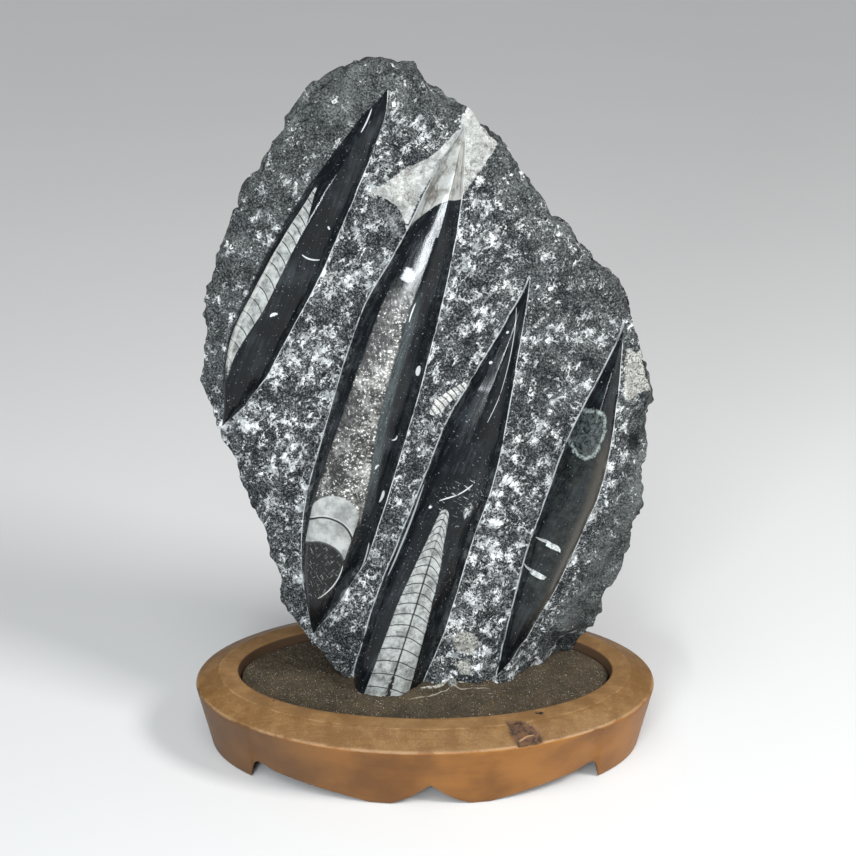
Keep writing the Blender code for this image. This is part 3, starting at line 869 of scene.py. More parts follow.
def inward_normals(points, reach=7):
    """Directions into the slab from its outline, smoothed over so many neighbours and level at its foot."""
    along = np.roll(points, -reach, axis=0) - np.roll(points, reach, axis=0)
    normals = np.stack([along[:, 1], -along[:, 0]], axis=1)
    normals /= np.linalg.norm(normals, axis=1)[:, None]
    low = points[:, 1] < -0.012
    normals[low, 0] = np.clip((FOOT_MIDDLE - points[low, 0]) / FOOT_HALF_WIDTH, -1.0, 1.0)
    normals[low, 1] = 0.0
    return normals


def low_right(across, up):
    """One at the slab's lower right, falling to zero towards its middle."""
    return smoothstep(0.0, 0.05, across) * (1.0 - smoothstep(0.015, 0.115, up))


def thickness(up):
    return THICKNESS_FOOT + (THICKNESS_TOP - THICKNESS_FOOT) * smoothstep(0.1, SLAB_HEIGHT, up)


def inside(points, outline):
    """Which points lie inside a closed outline."""
    found = np.zeros(len(points), dtype=bool)
    px, py = points[:, 0], points[:, 1]
    for start, end in zip(outline, np.roll(outline, -1, axis=0)):
        if start[1] == end[1]:
            continue
        crossing = (start[1] > py) != (end[1] > py)
        cross = start[0] + (py - start[1]) * (end[0] - start[0]) / (end[1] - start[1])
        found ^= crossing & (px < cross)
    return found


def distance_to(points, outline):
    """Distance from each point to a closed outline."""
    nearest = np.full(len(points), 1.0)
    for start, end in zip(outline, np.roll(outline, -1, axis=0)):
        along = end - start
        length = max(float(along @ along), 1e-14)
        share = np.clip((points - start) @ along / length, 0.0, 1.0)
        away = points - start - share[:, None] * along
        nearest = np.minimum(nearest, np.sqrt((away * away).sum(axis=1)))
    return nearest


def distance_to_all(points, outlines):
    return np.min([distance_to(points, outline) for outline in outlines], axis=0)


def staggered(outline, cell, seed):
    """Staggered points inside an outline, each moved a little at random, and their distances to it."""
    source = np.random.default_rng(seed)
    low = outline.min(axis=0)
    high = outline.max(axis=0)
    rows = int((high[1] - low[1]) / (cell * 0.87))
    columns = int((high[0] - low[0]) / cell)
    grid = np.stack(np.meshgrid(np.arange(columns), np.arange(rows)), axis=-1).reshape(-1, 2).astype(float)
    points = np.empty_like(grid)
    points[:, 0] = low[0] + cell * (grid[:, 0] + 0.5 * (grid[:, 1] % 2) + 0.25)
    points[:, 1] = low[1] + cell * 0.87 * (grid[:, 1] + 0.5)
    points += source.uniform(-0.3, 0.3, points.shape) * cell
    points = points[inside(points, outline)]
    return points, distance_to(points, outline)


def rough(points, depth, fine):
    """Ring points moved by the rock's own roughness."""
    seeds = points * np.array([1.0, 1.0, 2.0])
    moved = points.copy()
    for axis, order, shift in ((0, [0, 1, 2], 7.1), (1, [1, 2, 0], 3.7)):
        small = lumps(seeds, 0.0045, 0.0017, shift) * fine
        moved[:, axis] += lumps(seeds[:, order], 0.014, 0.0042) * depth + small
    moved[:, 2] += lumps(seeds[:, [2, 0, 1]], 0.018, 0.005) + lumps(seeds, 0.005, 0.0026, 5.3) * fine
    moved[:, 1] -= 0.0012 * smoothstep(0.325, 0.345, moved[:, 1])
    return moved


# Each main ring round the slab's edge: its inset and what the lower right adds to it,
# its height out of the face's plane and what the lower right adds, and its roughness.
RING_SHARES = [
    (0.0026, 0.015, -0.003, -0.009, 0.6),
    (0.0008, 0.004, -0.0080, -0.0085, 1.0),
    (0.0000, 0.000, -0.015, -0.007, 1.0),
    (0.0030, 0.006, -0.026, -0.003, 1.0),
    (0.0080, 0.015, None, 0.0, 0.5),
]
RING_STEPS = 6
RIM_DROP = 0.0045
RING_FALL = 0.0004
FAR_AWAY = -30.0

# The marking values of plain rock: share of a fossil's width, distance to its edge and depths inside marks
PLAIN_VALUES = {
    "share": 0.0, "edge": 50.0, "little": FAR_AWAY, "vein": FAR_AWAY, "patch": FAR_AWAY, "calm": 0.5,
}


def side_rings(outline, normals, room):
    """Rings from the face's rim to the back's, with finer ones between the main ones."""
    low = low_right(outline[:, 0], outline[:, 1])
    main = []
    for number, (inset, more_inset, out, more_out, depth) in enumerate(RING_SHARES):
        reach = inset + more_inset * low
        if number == 0:
            reach = np.minimum(reach, room)
        if number == 1:
            reach = np.minimum(reach, 0.5 * room)
        place = outline + normals * reach[:, None]
        back = 0.005 - thickness(outline[:, 1])
        heights = back if out is None else out + more_out * low
        ring = np.column_stack([place, heights])
        main.append((ring, depth))
    rings = []
    for (near, near_depth), (far, far_depth) in zip(main, main[1:]):
        for step in range(RING_STEPS):
            share = step / RING_STEPS
            ring = near + (far - near) * share
            fine = 0.15 if not rings else 1.0
            rings.append(rough(ring, near_depth + (far_depth - near_depth) * share, fine))
    rings.append(rough(main[-1][0], main[-1][1], 1.0))
    return rings


def face_relief(points, calm, little, gap_rim, gap_fossil):
    """How far the face stands out of the slab's plane at each point, in metres."""
    flat = level(points)
    beside = points[:, 0] - 0.044 - 0.46 * np.maximum(points[:, 1], 0.0)
    fall = low_right(points[:, 0], points[:, 1]) * 0.42 * np.maximum(beside, 0.0)
    foot_end = np.clip(points[:, 0] - 0.044, 0.0, 0.034)
    fall += (1.0 - smoothstep(-0.004, 0.034, points[:, 1])) * (0.08 * foot_end + 13.5 * foot_end * foot_end)
    pit_x, pit_y = ((points - np.array(PIT_CENTRE) * MM) / (np.array(PIT_REACH) * MM)).T
    fall += PIT_DEPTH * MM * np.exp(-pit_x * pit_x - pit_y * pit_y)
    beside_fossil = smoothstep(0.0, 0.004, gap_fossil)
    out = lumps(flat, 0.045, 0.004) + lumps(flat, 0.013, 0.0042) * (0.35 + 0.65 * beside_fossil) * 0.8 - fall
    out -= RIM_DROP * (1.0 - smoothstep(0.0, 0.016, gap_rim))
    ridged = np.abs(lumps(flat, 0.0055, 1.0, 2.2)) * 0.0030 + np.abs(lumps(flat, 0.0028, 1.0, 9.1)) * 0.0016
    chisel = lumps(flat, 0.0060, 0.0018, 5.2) + 0.0009 - ridged
    out += beside_fossil * (1.0 - 0.35 * calm) * chisel
    return out + 0.0009 * smoothstep(-0.4, 0.8, little)


def calm_share(points):
    """How calm the rock is: near one by the lower right edge, less by the other edges, zero in the middle."""
    x, y = points[:, 0], points[:, 1]
    right = smoothstep(0.0, 0.016, x - 0.052 - 0.40 * np.clip(y, 0.0, 0.13))
    right = right * (1.0 - smoothstep(0.13, 0.2, y)) * smoothstep(0.006, 0.040, y)
    crest = smoothstep(0.0, 0.03, y - 0.262 + 0.85 * (x - 0.045)) * smoothstep(0.0, 0.02, x)
    crest = crest * smoothstep(0.15, 0.2, y)
    top = smoothstep(0.295, 0.330, y)
    left = smoothstep(0.0, 0.016, left_of_first(points) - 0.010) * smoothstep(0.14, 0.17, y)
    shoulder = smoothstep(0.0, 0.05, x - 0.015) * smoothstep(0.12, 0.2, y)
    return np.clip(0.92 * right + 0.35 * crest + 0.50 * top + 0.42 * left + 0.25 * shoulder, 0.0, 0.95)


def left_of_first(points):
    """How far a point lies to the left of the line along the first fossil's left edge, in metres."""
    return 0.506 * (points[:, 1] - 0.152) - 0.100 - points[:, 0]


def mark_field(points, outlines):
    """Depth inside the nearest of several outlines in millimetres, below zero outside them."""
    field = np.full(len(points), FAR_AWAY)
    for outline in outlines:
        loop = np.array(outline) * MM
        gap = distance_to(points, loop) * TO_MM
        field = np.maximum(field, np.where(inside(points, loop), gap, -gap))
    return field


class Skin:
    """The slab's points, faces and marking values while its mesh is made."""

    def __init__(self):
        self.points = []
        self.faces = []
        self.slots = []
        self.values = {name: [] for name in PLAIN_VALUES}

    def add(self, plane, out, **values):
        """Adds points and returns their numbers. A value that isn't given is the plain rock's."""
        start = sum(map(len, self.points))
        self.points.append(in_world(plane[:, 0], plane[:, 1], out))
        for name, plain in PLAIN_VALUES.items():
            self.values[name].append(np.zeros(len(plane)) + values.get(name, plain))
        return start + np.arange(len(plane))

    def cover(self, faces, slot=0):
        self.faces += faces
        self.slots += [slot] * len(faces)


def marks_on(name, plane):
    """The vein's and the patches' values on the rock or on one fossil."""
    return {
        "vein": mark_field(plane, VEIN_OUTLINES.get(name, [])),
        "patch": mark_field(plane, PATCH_OUTLINES.get(name, [])),
    }


def rim_room(outline, loops):
    """How far the face's rim may lie inside the slab's outline, which leaves the fossils clear."""
    room = np.clip(distance_to_all(outline, loops) - 0.0016, 0.0002, 0.0055)
    kernel = np.ones(9) / 9.0
    return np.minimum(room, np.convolve(np.concatenate([room[-4:], room, room[:4]]), kernel, "valid"))


def add_rock_face(skin, rim, loops):
    """The rock's face between its rim and the fossils' outlines. Returns how far its points stand out."""
    cloud, cloud_rim = staggered(rim, FACE_CELL, 3)
    cloud_fossil = distance_to_all(cloud, loops)
    clear = (cloud_rim > FACE_CELL * 0.5) & (cloud_fossil > FACE_CELL * 0.5)
    for loop in loops:
        clear &= ~inside(cloud, loop)
    lines = np.concatenate([rim, *loops])
    plane = np.concatenate([lines, cloud[clear]])
    gap_rim = np.concatenate([distance_to(lines, rim), cloud_rim[clear]])
    gap_fossil = np.concatenate([distance_to_all(lines, loops), cloud_fossil[clear]])
    triangles = triangulated(plane, [len(rim), *map(len, loops)])
    middles = plane[triangles].mean(axis=1)
    keep = np.ones(len(triangles), dtype=bool)
    for loop in loops:
        keep &= ~inside(middles, loop)

    calm = calm_share(plane)
    little = mark_field(plane, [LITTLE_FOSSIL])
    out = face_relief(plane, calm, little, gap_rim, gap_fossil)
    wider = 0.0005 * ((left_of_first(plane) > 0.0) & (plane[:, 1] > 0.15))
    edge = (gap_fossil + wider) * TO_MM
    skin.add(plane, out, edge=edge, calm=calm, little=little, **marks_on("rock", plane))
    skin.cover(list(triangles[keep][:, ::-1]))
    return out


def add_fossil(skin, slot, name, rows, start, out):
    """One fossil as a grid, sewn to the rock along its outline, whose points' numbers begin at start."""
    shares = column_shares()
    size = len(rows)
    left = start + np.arange(size)
    right = np.concatenate([left[:1], start + size + np.arange(size - 2)[::-1], left[-1:]])
    belly, tip = [profile_heights(profile, shares) for profile in FOSSIL_PROFILES[name]]
    tip_part = smoothstep(0.45, 0.95, (rows[:, 0] - rows[0, 0]) / (rows[-1, 0] - rows[0, 0]))
    inner = []
    for r in range(1, size - 1):
        rise = belly * (1.0 - tip_part[r]) + tip * tip_part[r]
        base = out[left[r]] * (1.0 - shares) + out[right[r]] * shares
        across = rows[r, 1] + (rows[r, 2] - rows[r, 1]) * shares
        lift = rise * rows[r, 3] + base * (1.0 - rise)
        inner.append(np.column_stack([across, np.full(COLUMNS, rows[r, 0]), lift, shares])[1:-1])
    inner = np.concatenate(inner)
    plane = inner[:, :2]
    gap = distance_to(plane, fossil_loop(rows)) * TO_MM
    ids = skin.add(plane, inner[:, 2], share=inner[:, 3], edge=gap, calm=0.0, **marks_on(name, plane))
    skin.values["share"][0][right[1:-1]] = 1.0
    grid = np.column_stack([left[1:-1], ids.reshape(size - 2, COLUMNS - 2), right[1:-1]])
    for near, far in zip(grid, grid[1:]):
        skin.cover(faces_between(near, far), slot)
    low, high = grid[0], grid[-1]
    for c in range(COLUMNS - 1):
        skin.cover([(left[0], low[c + 1], low[c]), (high[c], high[c + 1], left[-1])], slot)


def add_sides(skin, rings, out):
    """The broken sides, ring by ring behind the face's rim. Returns the numbers of the last ring's points."""
    count = len(out)
    near = np.arange(count)
    calm = np.clip(skin.values["calm"][0][:count] + 0.12, 0.0, 0.9)
    marks = {name: skin.values[name][0][:count] for name in ("vein", "patch")}
    for step, ring in enumerate(rings[1:], 1):
        ring[:, 2] = np.minimum(ring[:, 2], np.maximum(out - RING_FALL * step, rings[-1][:, 2] + RING_FALL))
        far = skin.add(ring[:, :2], ring[:, 2], calm=calm, **(marks if step <= RING_STEPS else {}))
        skin.cover(faces_between(closed(near), closed(far)))
        near = far
    return near


def add_back(skin, rim, rim_ids):
    cloud, gap = staggered(rim, BACK_CELL, 8)
    clear = gap > BACK_CELL * 0.4
    cloud, gap = cloud[clear], gap[clear]
    flat = level(cloud, 0.2)
    out = lumps(flat, 0.06, 0.009) + lumps(flat, 0.02, 0.0055) + lumps(flat, 0.007, 0.0026, 1.7)
    out += RIM_DROP - thickness(cloud[:, 1]) - RIM_DROP * smoothstep(0.0, 0.02, gap)
    ids = np.concatenate([rim_ids, skin.add(cloud, out)])
    skin.cover(list(ids[triangulated(np.concatenate([rim, cloud]), [len(rim)])]))


def build_slab():
    outline = edge_points()
    rows_of = {name: fossil_rows(sections) for name, sections in FOSSIL_SECTIONS.items()}
    loops = [fossil_loop(rows) for rows in rows_of.values()]
    rings = side_rings(outline, inward_normals(outline), rim_room(outline, loops))
    rim = rings[0][:, :2]
    skin = Skin()
    out = add_rock_face(skin, rim, loops)
    start = len(rim)
    for slot, (name, rows) in enumerate(rows_of.items(), 1):
        add_fossil(skin, slot, name, rows, start, out)
        start += len(loops[slot - 1])
    last_ids = add_sides(skin, rings, out[: len(rim)])
    add_back(skin, rings[-1][:, :2], last_ids)

    makers = (rock_material, first_material, second_material, third_material, fourth_material)
    points = np.concatenate(skin.points)
    piece = mesh_object("slab_stone", points, skin.faces, skin.slots, [make() for make in makers])
    for name, values in skin.values.items():
        add_attribute(piece, name, np.concatenate(values))
    face_outward(piece, BED_TOP - FOOT_DEPTH)
    dress(piece, "fossil_slab", 42.0)


# Stand

def stand_profile():
    """The stand's section up to the recess floor: distance in from the shoulder, and height."""
    wall = SIDE_TAPER + SKIRT_THICKNESS
    ring = SHOULDER_RADII[0] - RECESS_RADII[0]
    corners = [
        (wall + 0.003, HOLLOW_HEIGHT, 0.0),
        (wall, 0.0, 0.0),
        (SIDE_TAPER, 0.0, 0.0012),
        (0.0, SHOULDER_HEIGHT, 0.0016),
        (SHOULDER_RADII[0] - RING_RADII[0], STAND_HEIGHT, 0.0013),
        (ring, STAND_HEIGHT, 0.0015),
        (ring + RECESS_WALL_SLANT, RECESS_FLOOR, 0.0),
    ]
    return refined(rounded(corners), 0.0024)


def rounded(corners, pieces=4):
    """A polyline with its corners rounded to the radii given with them."""
    points = []
    for number, (x, z, radius) in enumerate(corners):
        here = np.array([x, z])
        if radius == 0.0:
            points.append(here)
            continue
        before = np.array(corners[number - 1][:2])
        after = np.array(corners[number + 1][:2])
        to_before = (before - here) / np.linalg.norm(before - here)
        to_after = (after - here) / np.linalg.norm(after - here)
        start = here + to_before * radius
        end = here + to_after * radius
        for step in range(pieces + 1):
            share = step / pieces
            a = start + (here - start) * share
            b = here + (end - here) * share
            points.append(a + (b - a) * share)
    return points


def refined(points, longest):
    """A polyline cut into steps no longer than that."""
    made = [points[0]]
    for start, end in zip(points, points[1:]):
        steps = max(1, math.ceil(np.linalg.norm(end - start) / longest))
        made += [start + (end - start) * step / steps for step in range(1, steps + 1)]
    return np.array(made)


def oval(radii, count, inset=0.0):
    """Places round an oval, which may lie inside the given one."""
    turn = np.linspace(0.0, 2.0 * math.pi, count, endpoint=False)
    return (radii[0] - inset) * np.cos(turn), (radii[1] - inset) * np.sin(turn)


def skirt_height(x):
    """Height of the skirt's lower edge at a distance along the stand, never below the ground."""
    shift = SKIRT_MIDDLE * (1.0 - smoothstep(0.040, 0.090, np.abs(x)))
    away = np.abs(x - shift)
    edge = np.array(SKIRT_EDGE) * MM
    height = np.interp(away, edge[:, 0], edge[:, 1])
    return np.where(away > edge[-1, 0], 0.0, np.maximum(height, 0.0))


def build_stand():
    profile = stand_profile()
    inset = profile[:, 0][:, None]
    x, y = oval(SHOULDER_RADII, STAND_SIDES, inset)
    z = np.repeat(profile[:, 1][:, None], STAND_SIDES, axis=1)
    lift = skirt_height(x)
    outer = (profile[:, 0] < SIDE_TAPER + 1e-6) & (profile[:, 1] < SHOULDER_HEIGHT)
    under = profile[:, 1] < HOLLOW_HEIGHT + 1e-6
    top = np.where(outer, SHOULDER_HEIGHT, HOLLOW_HEIGHT)[:, None]
    low = (outer | under)[:, None] & (np.arange(len(profile))[:, None] < len(profile) - 1)
    z = np.where(low & (z < top), lift + z * (top - lift) / top, z)
    points, chip = carve_stand(np.stack([x, y, z], axis=-1))

    steps = np.linalg.norm(np.diff(profile, axis=0), axis=1)
    along = np.concatenate([[0.0], np.cumsum(steps)]) * TO_MM
    ids = np.arange(chip.size).reshape(chip.shape)
    faces = []
    for near, far in zip(ids, ids[1:]):
        faces += faces_between(closed(near), closed(far))
    for near, far, after_near, after_far in zip(ids[0], ids[-1], np.roll(ids[0], -1), np.roll(ids[-1], -1)):
        faces += [(after_near, near, chip.size), (far, after_far, chip.size + 1)]
    flat = np.concatenate([points.reshape(-1, 3), [[0.0, 0.0, HOLLOW_HEIGHT], [0.0, 0.0, RECESS_FLOOR]]])
    piece = mesh_object("stand_wood", flat, faces, [0] * len(faces), [wood_material(along, profile)])
    add_attribute(piece, "along", np.append(np.repeat(along, STAND_SIDES), [0.0, along[-1]]))
    add_attribute(piece, "chip", np.append(chip.reshape(-1), [0.0, 0.0]))
    face_outward(piece)
    dress(piece, "wooden_stand", 55.0)


def carve_stand(points):
    """Dents the chip and the pin holes into the ring, and makes the hand-worked surface slightly uneven."""
    x, y, z = points[..., 0], points[..., 1], points[..., 2]
    top = smoothstep(0.0375, 0.0395, z)
    flat = points.reshape(-1, 3)
    depth_in = mark_field(flat[:, :2], [CHIP_OUTLINE]).reshape(x.shape)
    chip = smoothstep(-0.4, 0.4, depth_in) * top
    points[..., 2] -= chip * (CHIP_DEPTH + lumps(flat, 0.004, 0.0009, 1.3).reshape(x.shape))
    for (hole_x, hole_y), (half_x, half_y) in HOLES:
        away = np.hypot((x * TO_MM - hole_x) / half_x, (y * TO_MM - hole_y) / half_y)
        hole = (1.0 - smoothstep(0.6, 1.1, away)) * top
        points[..., 2] -= HOLE_DEPTH * hole
        chip = np.maximum(chip, hole)
    uneven = lumps(flat, 0.03, 0.00035, 2.9).reshape(x.shape)
    raised = smoothstep(0.014, 0.02, z)
    points[..., 2] += uneven * raised * np.where(z > STAND_HEIGHT - 0.0004, -1.0, 0.6) * 0.6
    points[..., 2] = np.minimum(points[..., 2], STAND_HEIGHT)
    return points, chip


def wood_material(lengths, profile):
    """Stained wood, whose tone changes at the edges of the bevel and of the flat ring."""
    paint = Paint("brown_stained_wood")
    run = paint.attribute("along")
    chip = paint.attribute("chip")
    bevel_low = float(lengths[np.argmax(profile[:, 1] > SHOULDER_HEIGHT - 0.0002)])
    bevel_high = float(lengths[np.argmax(profile[:, 1] > STAND_HEIGHT - 0.0002)])
    flat_end = float(lengths[-1]) - 17.6

    grain = paint.noise(0.0024, 5.0, 0.65, at=paint.stretched(0.0, (14.0, 1.0, 1.0)), lean=0.4)
    pores = paint.noise(0.0007, 3.0, 0.7, at=paint.stretched(0.0, (10.0, 1.0, 1.0)))
    clouds = paint.noise(0.045, 3.0, 0.55)
    blotch = paint.noise(0.012, 4.0, 0.6)
    cloudy = grain * 0.18 + clouds * 0.95
    side = paint.between(cloudy, 0.42, 0.74, (0.140, 0.052, 0.007), (0.275, 0.110, 0.019))
    # painted shade: the side darkens towards the left, where it faces away from the light
    side = paint.mix(paint.x.rise(-0.125, 0.02, 0.65, 0.0), side, (0.045, 0.027, 0.014))
    mottled = grain * 0.35 + blotch * 0.7
    bevel = paint.between(mottled, 0.40, 0.72, (0.128, 0.062, 0.017), (0.195, 0.103, 0.035))
    flat = paint.between(mottled, 0.40, 0.72, (0.150, 0.078, 0.028), (0.230, 0.128, 0.048))
    dust = paint.noise(0.0009, 2.0, 0.7).rise(0.50, 0.68) * blotch.rise(0.35, 0.65, 0.15, 0.45)
    bevel = paint.mix(dust * 0.8, bevel, (0.30, 0.21, 0.12))
    flat = paint.mix(dust * 0.7, flat, (0.29, 0.20, 0.12))
    uneven = (blotch - 0.5) * 1.6
    ragged = run + uneven * 0.3
    paint.colour = paint.between(ragged, bevel_low - 0.3, bevel_low + 0.5, side, bevel)
    paint.lay(ragged.rise(bevel_high - 0.5, bevel_high + 0.4), flat)
    # painted shade: darker from the ring's inner edge down the recess wall
    paint.lay(run.rise(flat_end - 0.2, flat_end + 0.8), (0.070, 0.040, 0.022))
    # Lighter bands along the bevel's lower and upper edges: wear, together with a painted highlight on those
    # rounded edges
    wear_and_highlight_low = band(run + uneven, bevel_low, 0.35, 0.9) * blotch.rise(0.35, 0.55)
    wear_and_highlight_high = band(run + uneven, bevel_high, 0.15, 0.6) * blotch.rise(0.4, 0.6)
    paint.lay((wear_and_highlight_low * 0.45 + wear_and_highlight_high * 0.35).least(1.0), (0.36, 0.23, 0.12))
    paint.lay(pores.rise(0.62, 0.72) * 0.5, (0.075, 0.04, 0.022))
    paint.lay(paint.noise(0.009, 5.0, 0.7).rise(0.60, 0.72) * 0.35, (0.11, 0.06, 0.032))
    across, depth = paint.x * TO_MM, paint.y * TO_MM
    torn = paint.noise(0.003, 4.0, 0.7)
    broken = paint.between(torn, 0.40, 0.62, (0.020, 0.010, 0.006), (0.095, 0.046, 0.022))
    ridge = stroke(across, depth, (50.0, -65.0), (58.4, -60.4), 0.5, 0.45)
    broken = paint.mix(ridge * 0.7, broken, (0.34, 0.20, 0.10))
    paint.lay(chip * 0.95, broken)
    for (hole_x, hole_y), (half_x, half_y) in HOLES:
        x = (across - hole_x) / half_x
        y = (depth - hole_y) / half_y
        hole = 1.0 - (x * x + y * y).run("SQRT").rise(0.75, 1.05)
        paint.lay(hole * run.rise(bevel_low, bevel_low + 1.0), (0.018, 0.011, 0.007))
    return paint.finish(0.36 + grain * 0.22 + chip * 0.3, grain * 0.5 + pores * -0.5, 0.0002, 0.35)


# Bed

FOOT_OUTLINE = [
    (-42, -16), (-30, -25), (-12, -26), (0, -13), (42, -9), (54, -3), (63, 4), (71, 14), (76, 22), (66, 32),
    (-36, 36),
]
BED_FILLET_HEIGHT = 0.0014
BED_FILLET_WIDTH = 0.006
BED_CELL = 0.0013
BED_GAP = 0.0003
POCKET_DEPTH = 0.011
BED_SIDES = 360
GRAIN_COUNT = 3000
KNOB = (0.0155, -0.0140)
KNOB_WIDTH = 0.0030
KNOB_HEIGHT = 0.0044


def bed_shape(points, foot):
    """Height of the bed's top, which rises against the slab's foot and drops into its pocket."""
    gap = distance_to(points, foot)
    away = np.where(inside(points, foot), -gap, gap)
    flat = level(points)
    uneven = away + lumps(flat, 0.009, 0.004, 6.0)
    rise = BED_FILLET_HEIGHT * (1.0 - smoothstep(0.0, BED_FILLET_WIDTH, np.maximum(uneven, 0.0)))
    grit = lumps(flat, 0.011, 0.0007) + lumps(flat, 0.0034, 0.0007, 3.0) + lumps(flat, 0.0016, 0.0005, 8.0)
    knob = np.exp(-((points[:, 0] - KNOB[0]) ** 2 + (points[:, 1] - KNOB[1]) ** 2) / KNOB_WIDTH**2)
    rise = rise + KNOB_HEIGHT * np.minimum(knob * 1.4, 1.0)
    pocket = smoothstep(0.005, 0.009, -away)
    return (BED_TOP + rise + grit) * (1.0 - pocket) + (BED_TOP - POCKET_DEPTH) * pocket


def build_bed():
    """The mortar bed in the stand's recess. Returns the outline of the slab's foot."""
    radii = [radius - RECESS_WALL_SLANT - BED_GAP for radius in RECESS_RADII]
    rim = np.stack(oval(radii, BED_SIDES), axis=1)
    foot = np.array(FOOT_OUTLINE) * MM
    cloud, gap = staggered(rim, BED_CELL, 12)
    plane = np.concatenate([rim, cloud[gap > BED_CELL * 0.5]])
    heights = bed_shape(plane, foot)
    heights[:BED_SIDES] = BED_TOP - 0.0002
    faces = list(triangulated(plane, [BED_SIDES]))
    bottom = RECESS_FLOOR + BED_GAP
    points = np.concatenate([np.column_stack([plane, heights]), level(rim, bottom), [[0.0, 0.0, bottom]]])
    total = len(plane)
    for i in range(BED_SIDES):
        j = (i + 1) % BED_SIDES
        faces += [(total + i, total + j, j, i), (total + j, total + i, total + BED_SIDES)]
    piece = mesh_object("bed_sand", points, faces, [0] * len(faces), [sand_material()])
    face_outward(piece)
    dress(piece, "mortar_bed", 60.0)
    return foot


def sand_material():
    paint = Paint("dark_sandy_mortar")
    across, depth = paint.x * TO_MM, paint.y * TO_MM
    grain = paint.noise(0.0007, 2.0, 0.8)
    clouds = paint.noise(0.02, 4.0, 0.6)
    specks = paint.noise(0.0006, 2.0, 0.7)
    gritty = grain + clouds * 0.4
    paint.colour = paint.between(gritty, 0.5, 0.95, (0.012, 0.009, 0.005), (0.085, 0.063, 0.036))
    paint.lay(specks.rise(0.70, 0.76) * 0.8, (0.5, 0.42, 0.3))
    knob_reach = circle(across, depth, (KNOB[0] * TO_MM, KNOB[1] * TO_MM)) + (grain - 0.5) * 3.0
    stony = paint.between(grain, 0.40, 0.62, (0.020, 0.023, 0.023), (0.30, 0.31, 0.30))
    paint.lay(1.0 - knob_reach.rise(2.2, 3.2), stony)
    crust = strokes(across, depth, [
        ((-3.0, -16.5), (31.2, -8.2), 0.8, 1.1), ((26.0, -9.0), (50.0, -4.4), -0.6, 0.8),
    ])
    crusty = paint.noise(0.0026, 4.0, 0.8).rise(0.40, 0.56)
    paint.lay(crust * crusty * 0.8, (0.50, 0.48, 0.42))
    scratch = strokes(across, depth, [
        ((-8.3, -26.8), (14.1, -16.8), 0.4, 0.35), ((14.1, -16.8), (36.6, -14.8), 1.0, 0.3),
    ])
    paint.lay(scratch * 0.7, (0.34, 0.30, 0.24))
    return paint.finish(0.75 + grain * 0.2, grain, 0.0005, 0.35)


def glitter_material(name, colour, roughness, metallic):
    paint = Paint(name)
    darker = tuple(0.5 * value for value in colour)
    paint.shader.inputs["Metallic"].default_value = metallic
    paint.colour = paint.between(paint.noise(0.003, 2.0, 0.5), 0.35, 0.65, darker, colour)
    return paint.finish(roughness)


def build_glitter(foot):
    """Loose shiny grains pressed into the bed's top, each a small tilted double pyramid."""
    source = random.Random(21)
    places = []
    while len(places) < GRAIN_COUNT:
        x = source.uniform(-0.104, 0.104)
        y = source.uniform(-0.0485, 0.0485)
        if (x / 0.1035) ** 2 + (y / 0.0478) ** 2 < 1.0:
            places.append((x, y))
    places = np.array(places)
    places = places[~inside(places, foot) | (distance_to(places, foot) < 0.001)]
    points, faces, slots = [], [], []
    for (x, y), ground in zip(places, bed_shape(places, foot)):
        size = source.uniform(0.00010, 0.00024)
        start = len(points)
        spin = source.uniform(0.0, math.pi)
        tilt = source.uniform(-0.5, 0.5)
        z = ground + 0.0001
        for step in range(4):
            turn = spin + step * math.pi / 2.0
            rise = tilt * size * math.cos(turn)
            points.append((x + size * math.cos(turn), y + size * math.sin(turn), z + rise))
        points += [(x, y, z + size * 0.6), (x, y, z - size * 0.6)]
        slot = 0 if source.random() < 0.6 else 1
        for step in range(4):
            after = (step + 1) % 4
            faces += [(start + step, start + after, start + 4), (start + after, start + step, start + 5)]
            slots += [slot, slot]
    materials = [
        glitter_material("pale_glitter_grains", (0.75, 0.72, 0.66), 0.25, 0.0),
        glitter_material("gold_glitter_grains", (0.55, 0.36, 0.14), 0.3, 0.6),
    ]
    dress(mesh_object("bed_glitter", points, faces, slots, materials), None)


# Floor, lights and camera

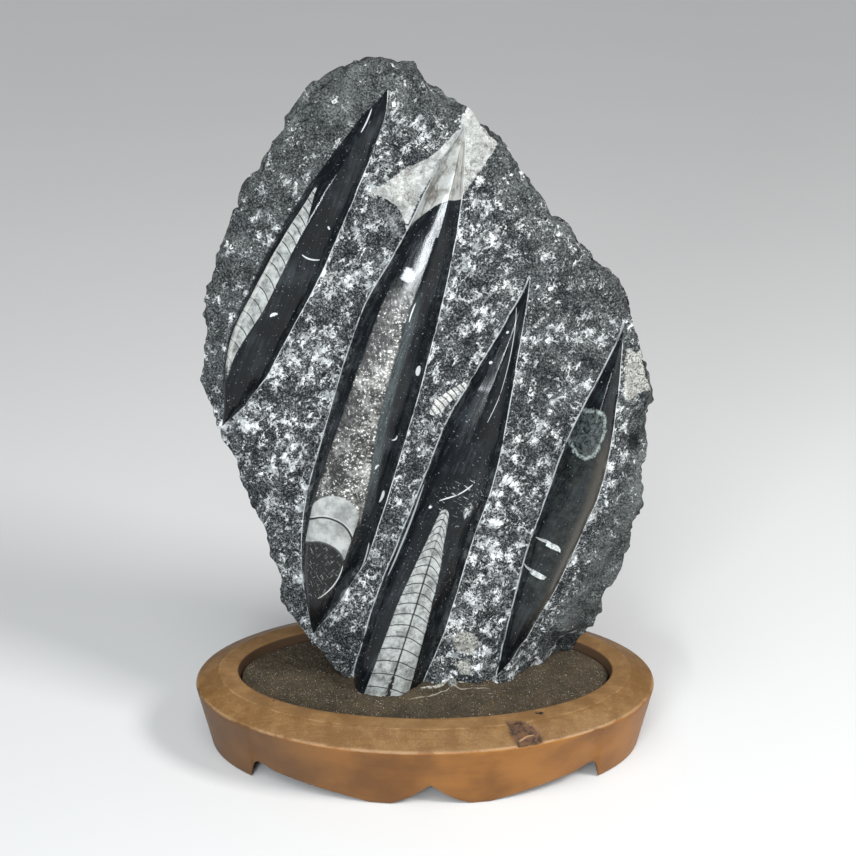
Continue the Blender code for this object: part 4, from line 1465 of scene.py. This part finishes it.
def build_stage():
    size = 6.0
    corners = [(-size, -size, 0.0), (size, -size, 0.0), (size, size, 0.0), (-size, size, 0.0)]
    mesh_object("floor", corners, [(0, 1, 2, 3)], [0], [floor_material()])


def floor_material():
    paint = Paint("pale_floor")
    paint.colour = paint.mix(paint.noise(0.4, 2.0, 0.5), (0.585, 0.59, 0.595), (0.615, 0.62, 0.62))
    return paint.finish(0.6, specular=0.2)


def add_light(name, place, target, size, power, colour=(1.0, 1.0, 1.0), length=None, spin=0.0):
    """An area light aimed at a target; one with a length is a strip, turned by so many degrees."""
    light = bpy.data.lights.new(name, "AREA")
    light.energy = power
    light.size = size
    light.color = colour
    if length:
        light.shape = "RECTANGLE"
        light.size_y = length
    thing = linked(name, light)
    thing.location = place
    aim = (Vector(target) - Vector(place)).to_track_quat("-Z", "Y")
    thing.rotation_euler = (aim @ Quaternion((0.0, 0.0, 1.0), math.radians(spin))).to_euler()


def build_lights():
    world = bpy.data.worlds.new("soft_room")
    bpy.context.scene.world = world
    world.use_nodes = True
    back = world.node_tree.nodes["Background"]
    back.inputs["Color"].default_value = (0.88, 0.90, 0.92, 1.0)
    back.inputs["Strength"].default_value = 0.22
    middle = (0.0, 0.0, 0.18)
    add_light("window_light", (0.85, -0.45, 1.05), middle, 0.35, 16.0, (1.0, 0.99, 0.97))
    high = (0.0, 0.0, 0.29)
    add_light("ridge_light", (-0.36, -1.18, 0.53), high, 0.08, 13.0, (0.90, 0.96, 1.0), 0.46, 47.0)
    sun = bpy.data.lights.new("ceiling_light", "SUN")
    sun.energy = 1.9
    sun.angle = math.radians(50.0)
    down = Vector((0.15, 0.55, -1.0)).to_track_quat("-Z", "Y")
    linked("ceiling_light", sun).rotation_euler = down.to_euler()


def build_camera():
    data = bpy.data.cameras.new("photo_camera")
    data.lens = 63.08
    data.sensor_width = 36.0
    data.clip_start = 0.01
    camera = linked("photo_camera", data)
    camera.location = (0.0017, -0.7306, 0.5092)
    camera.rotation_euler = (math.radians(66.59), 0.0, 0.0)
    bpy.context.scene.camera = camera


build_camera()
build_lights()
build_stage()
build_slab()
build_stand()
build_glitter(build_bed())
bpy.context.scene.view_settings.view_transform = "Standard"
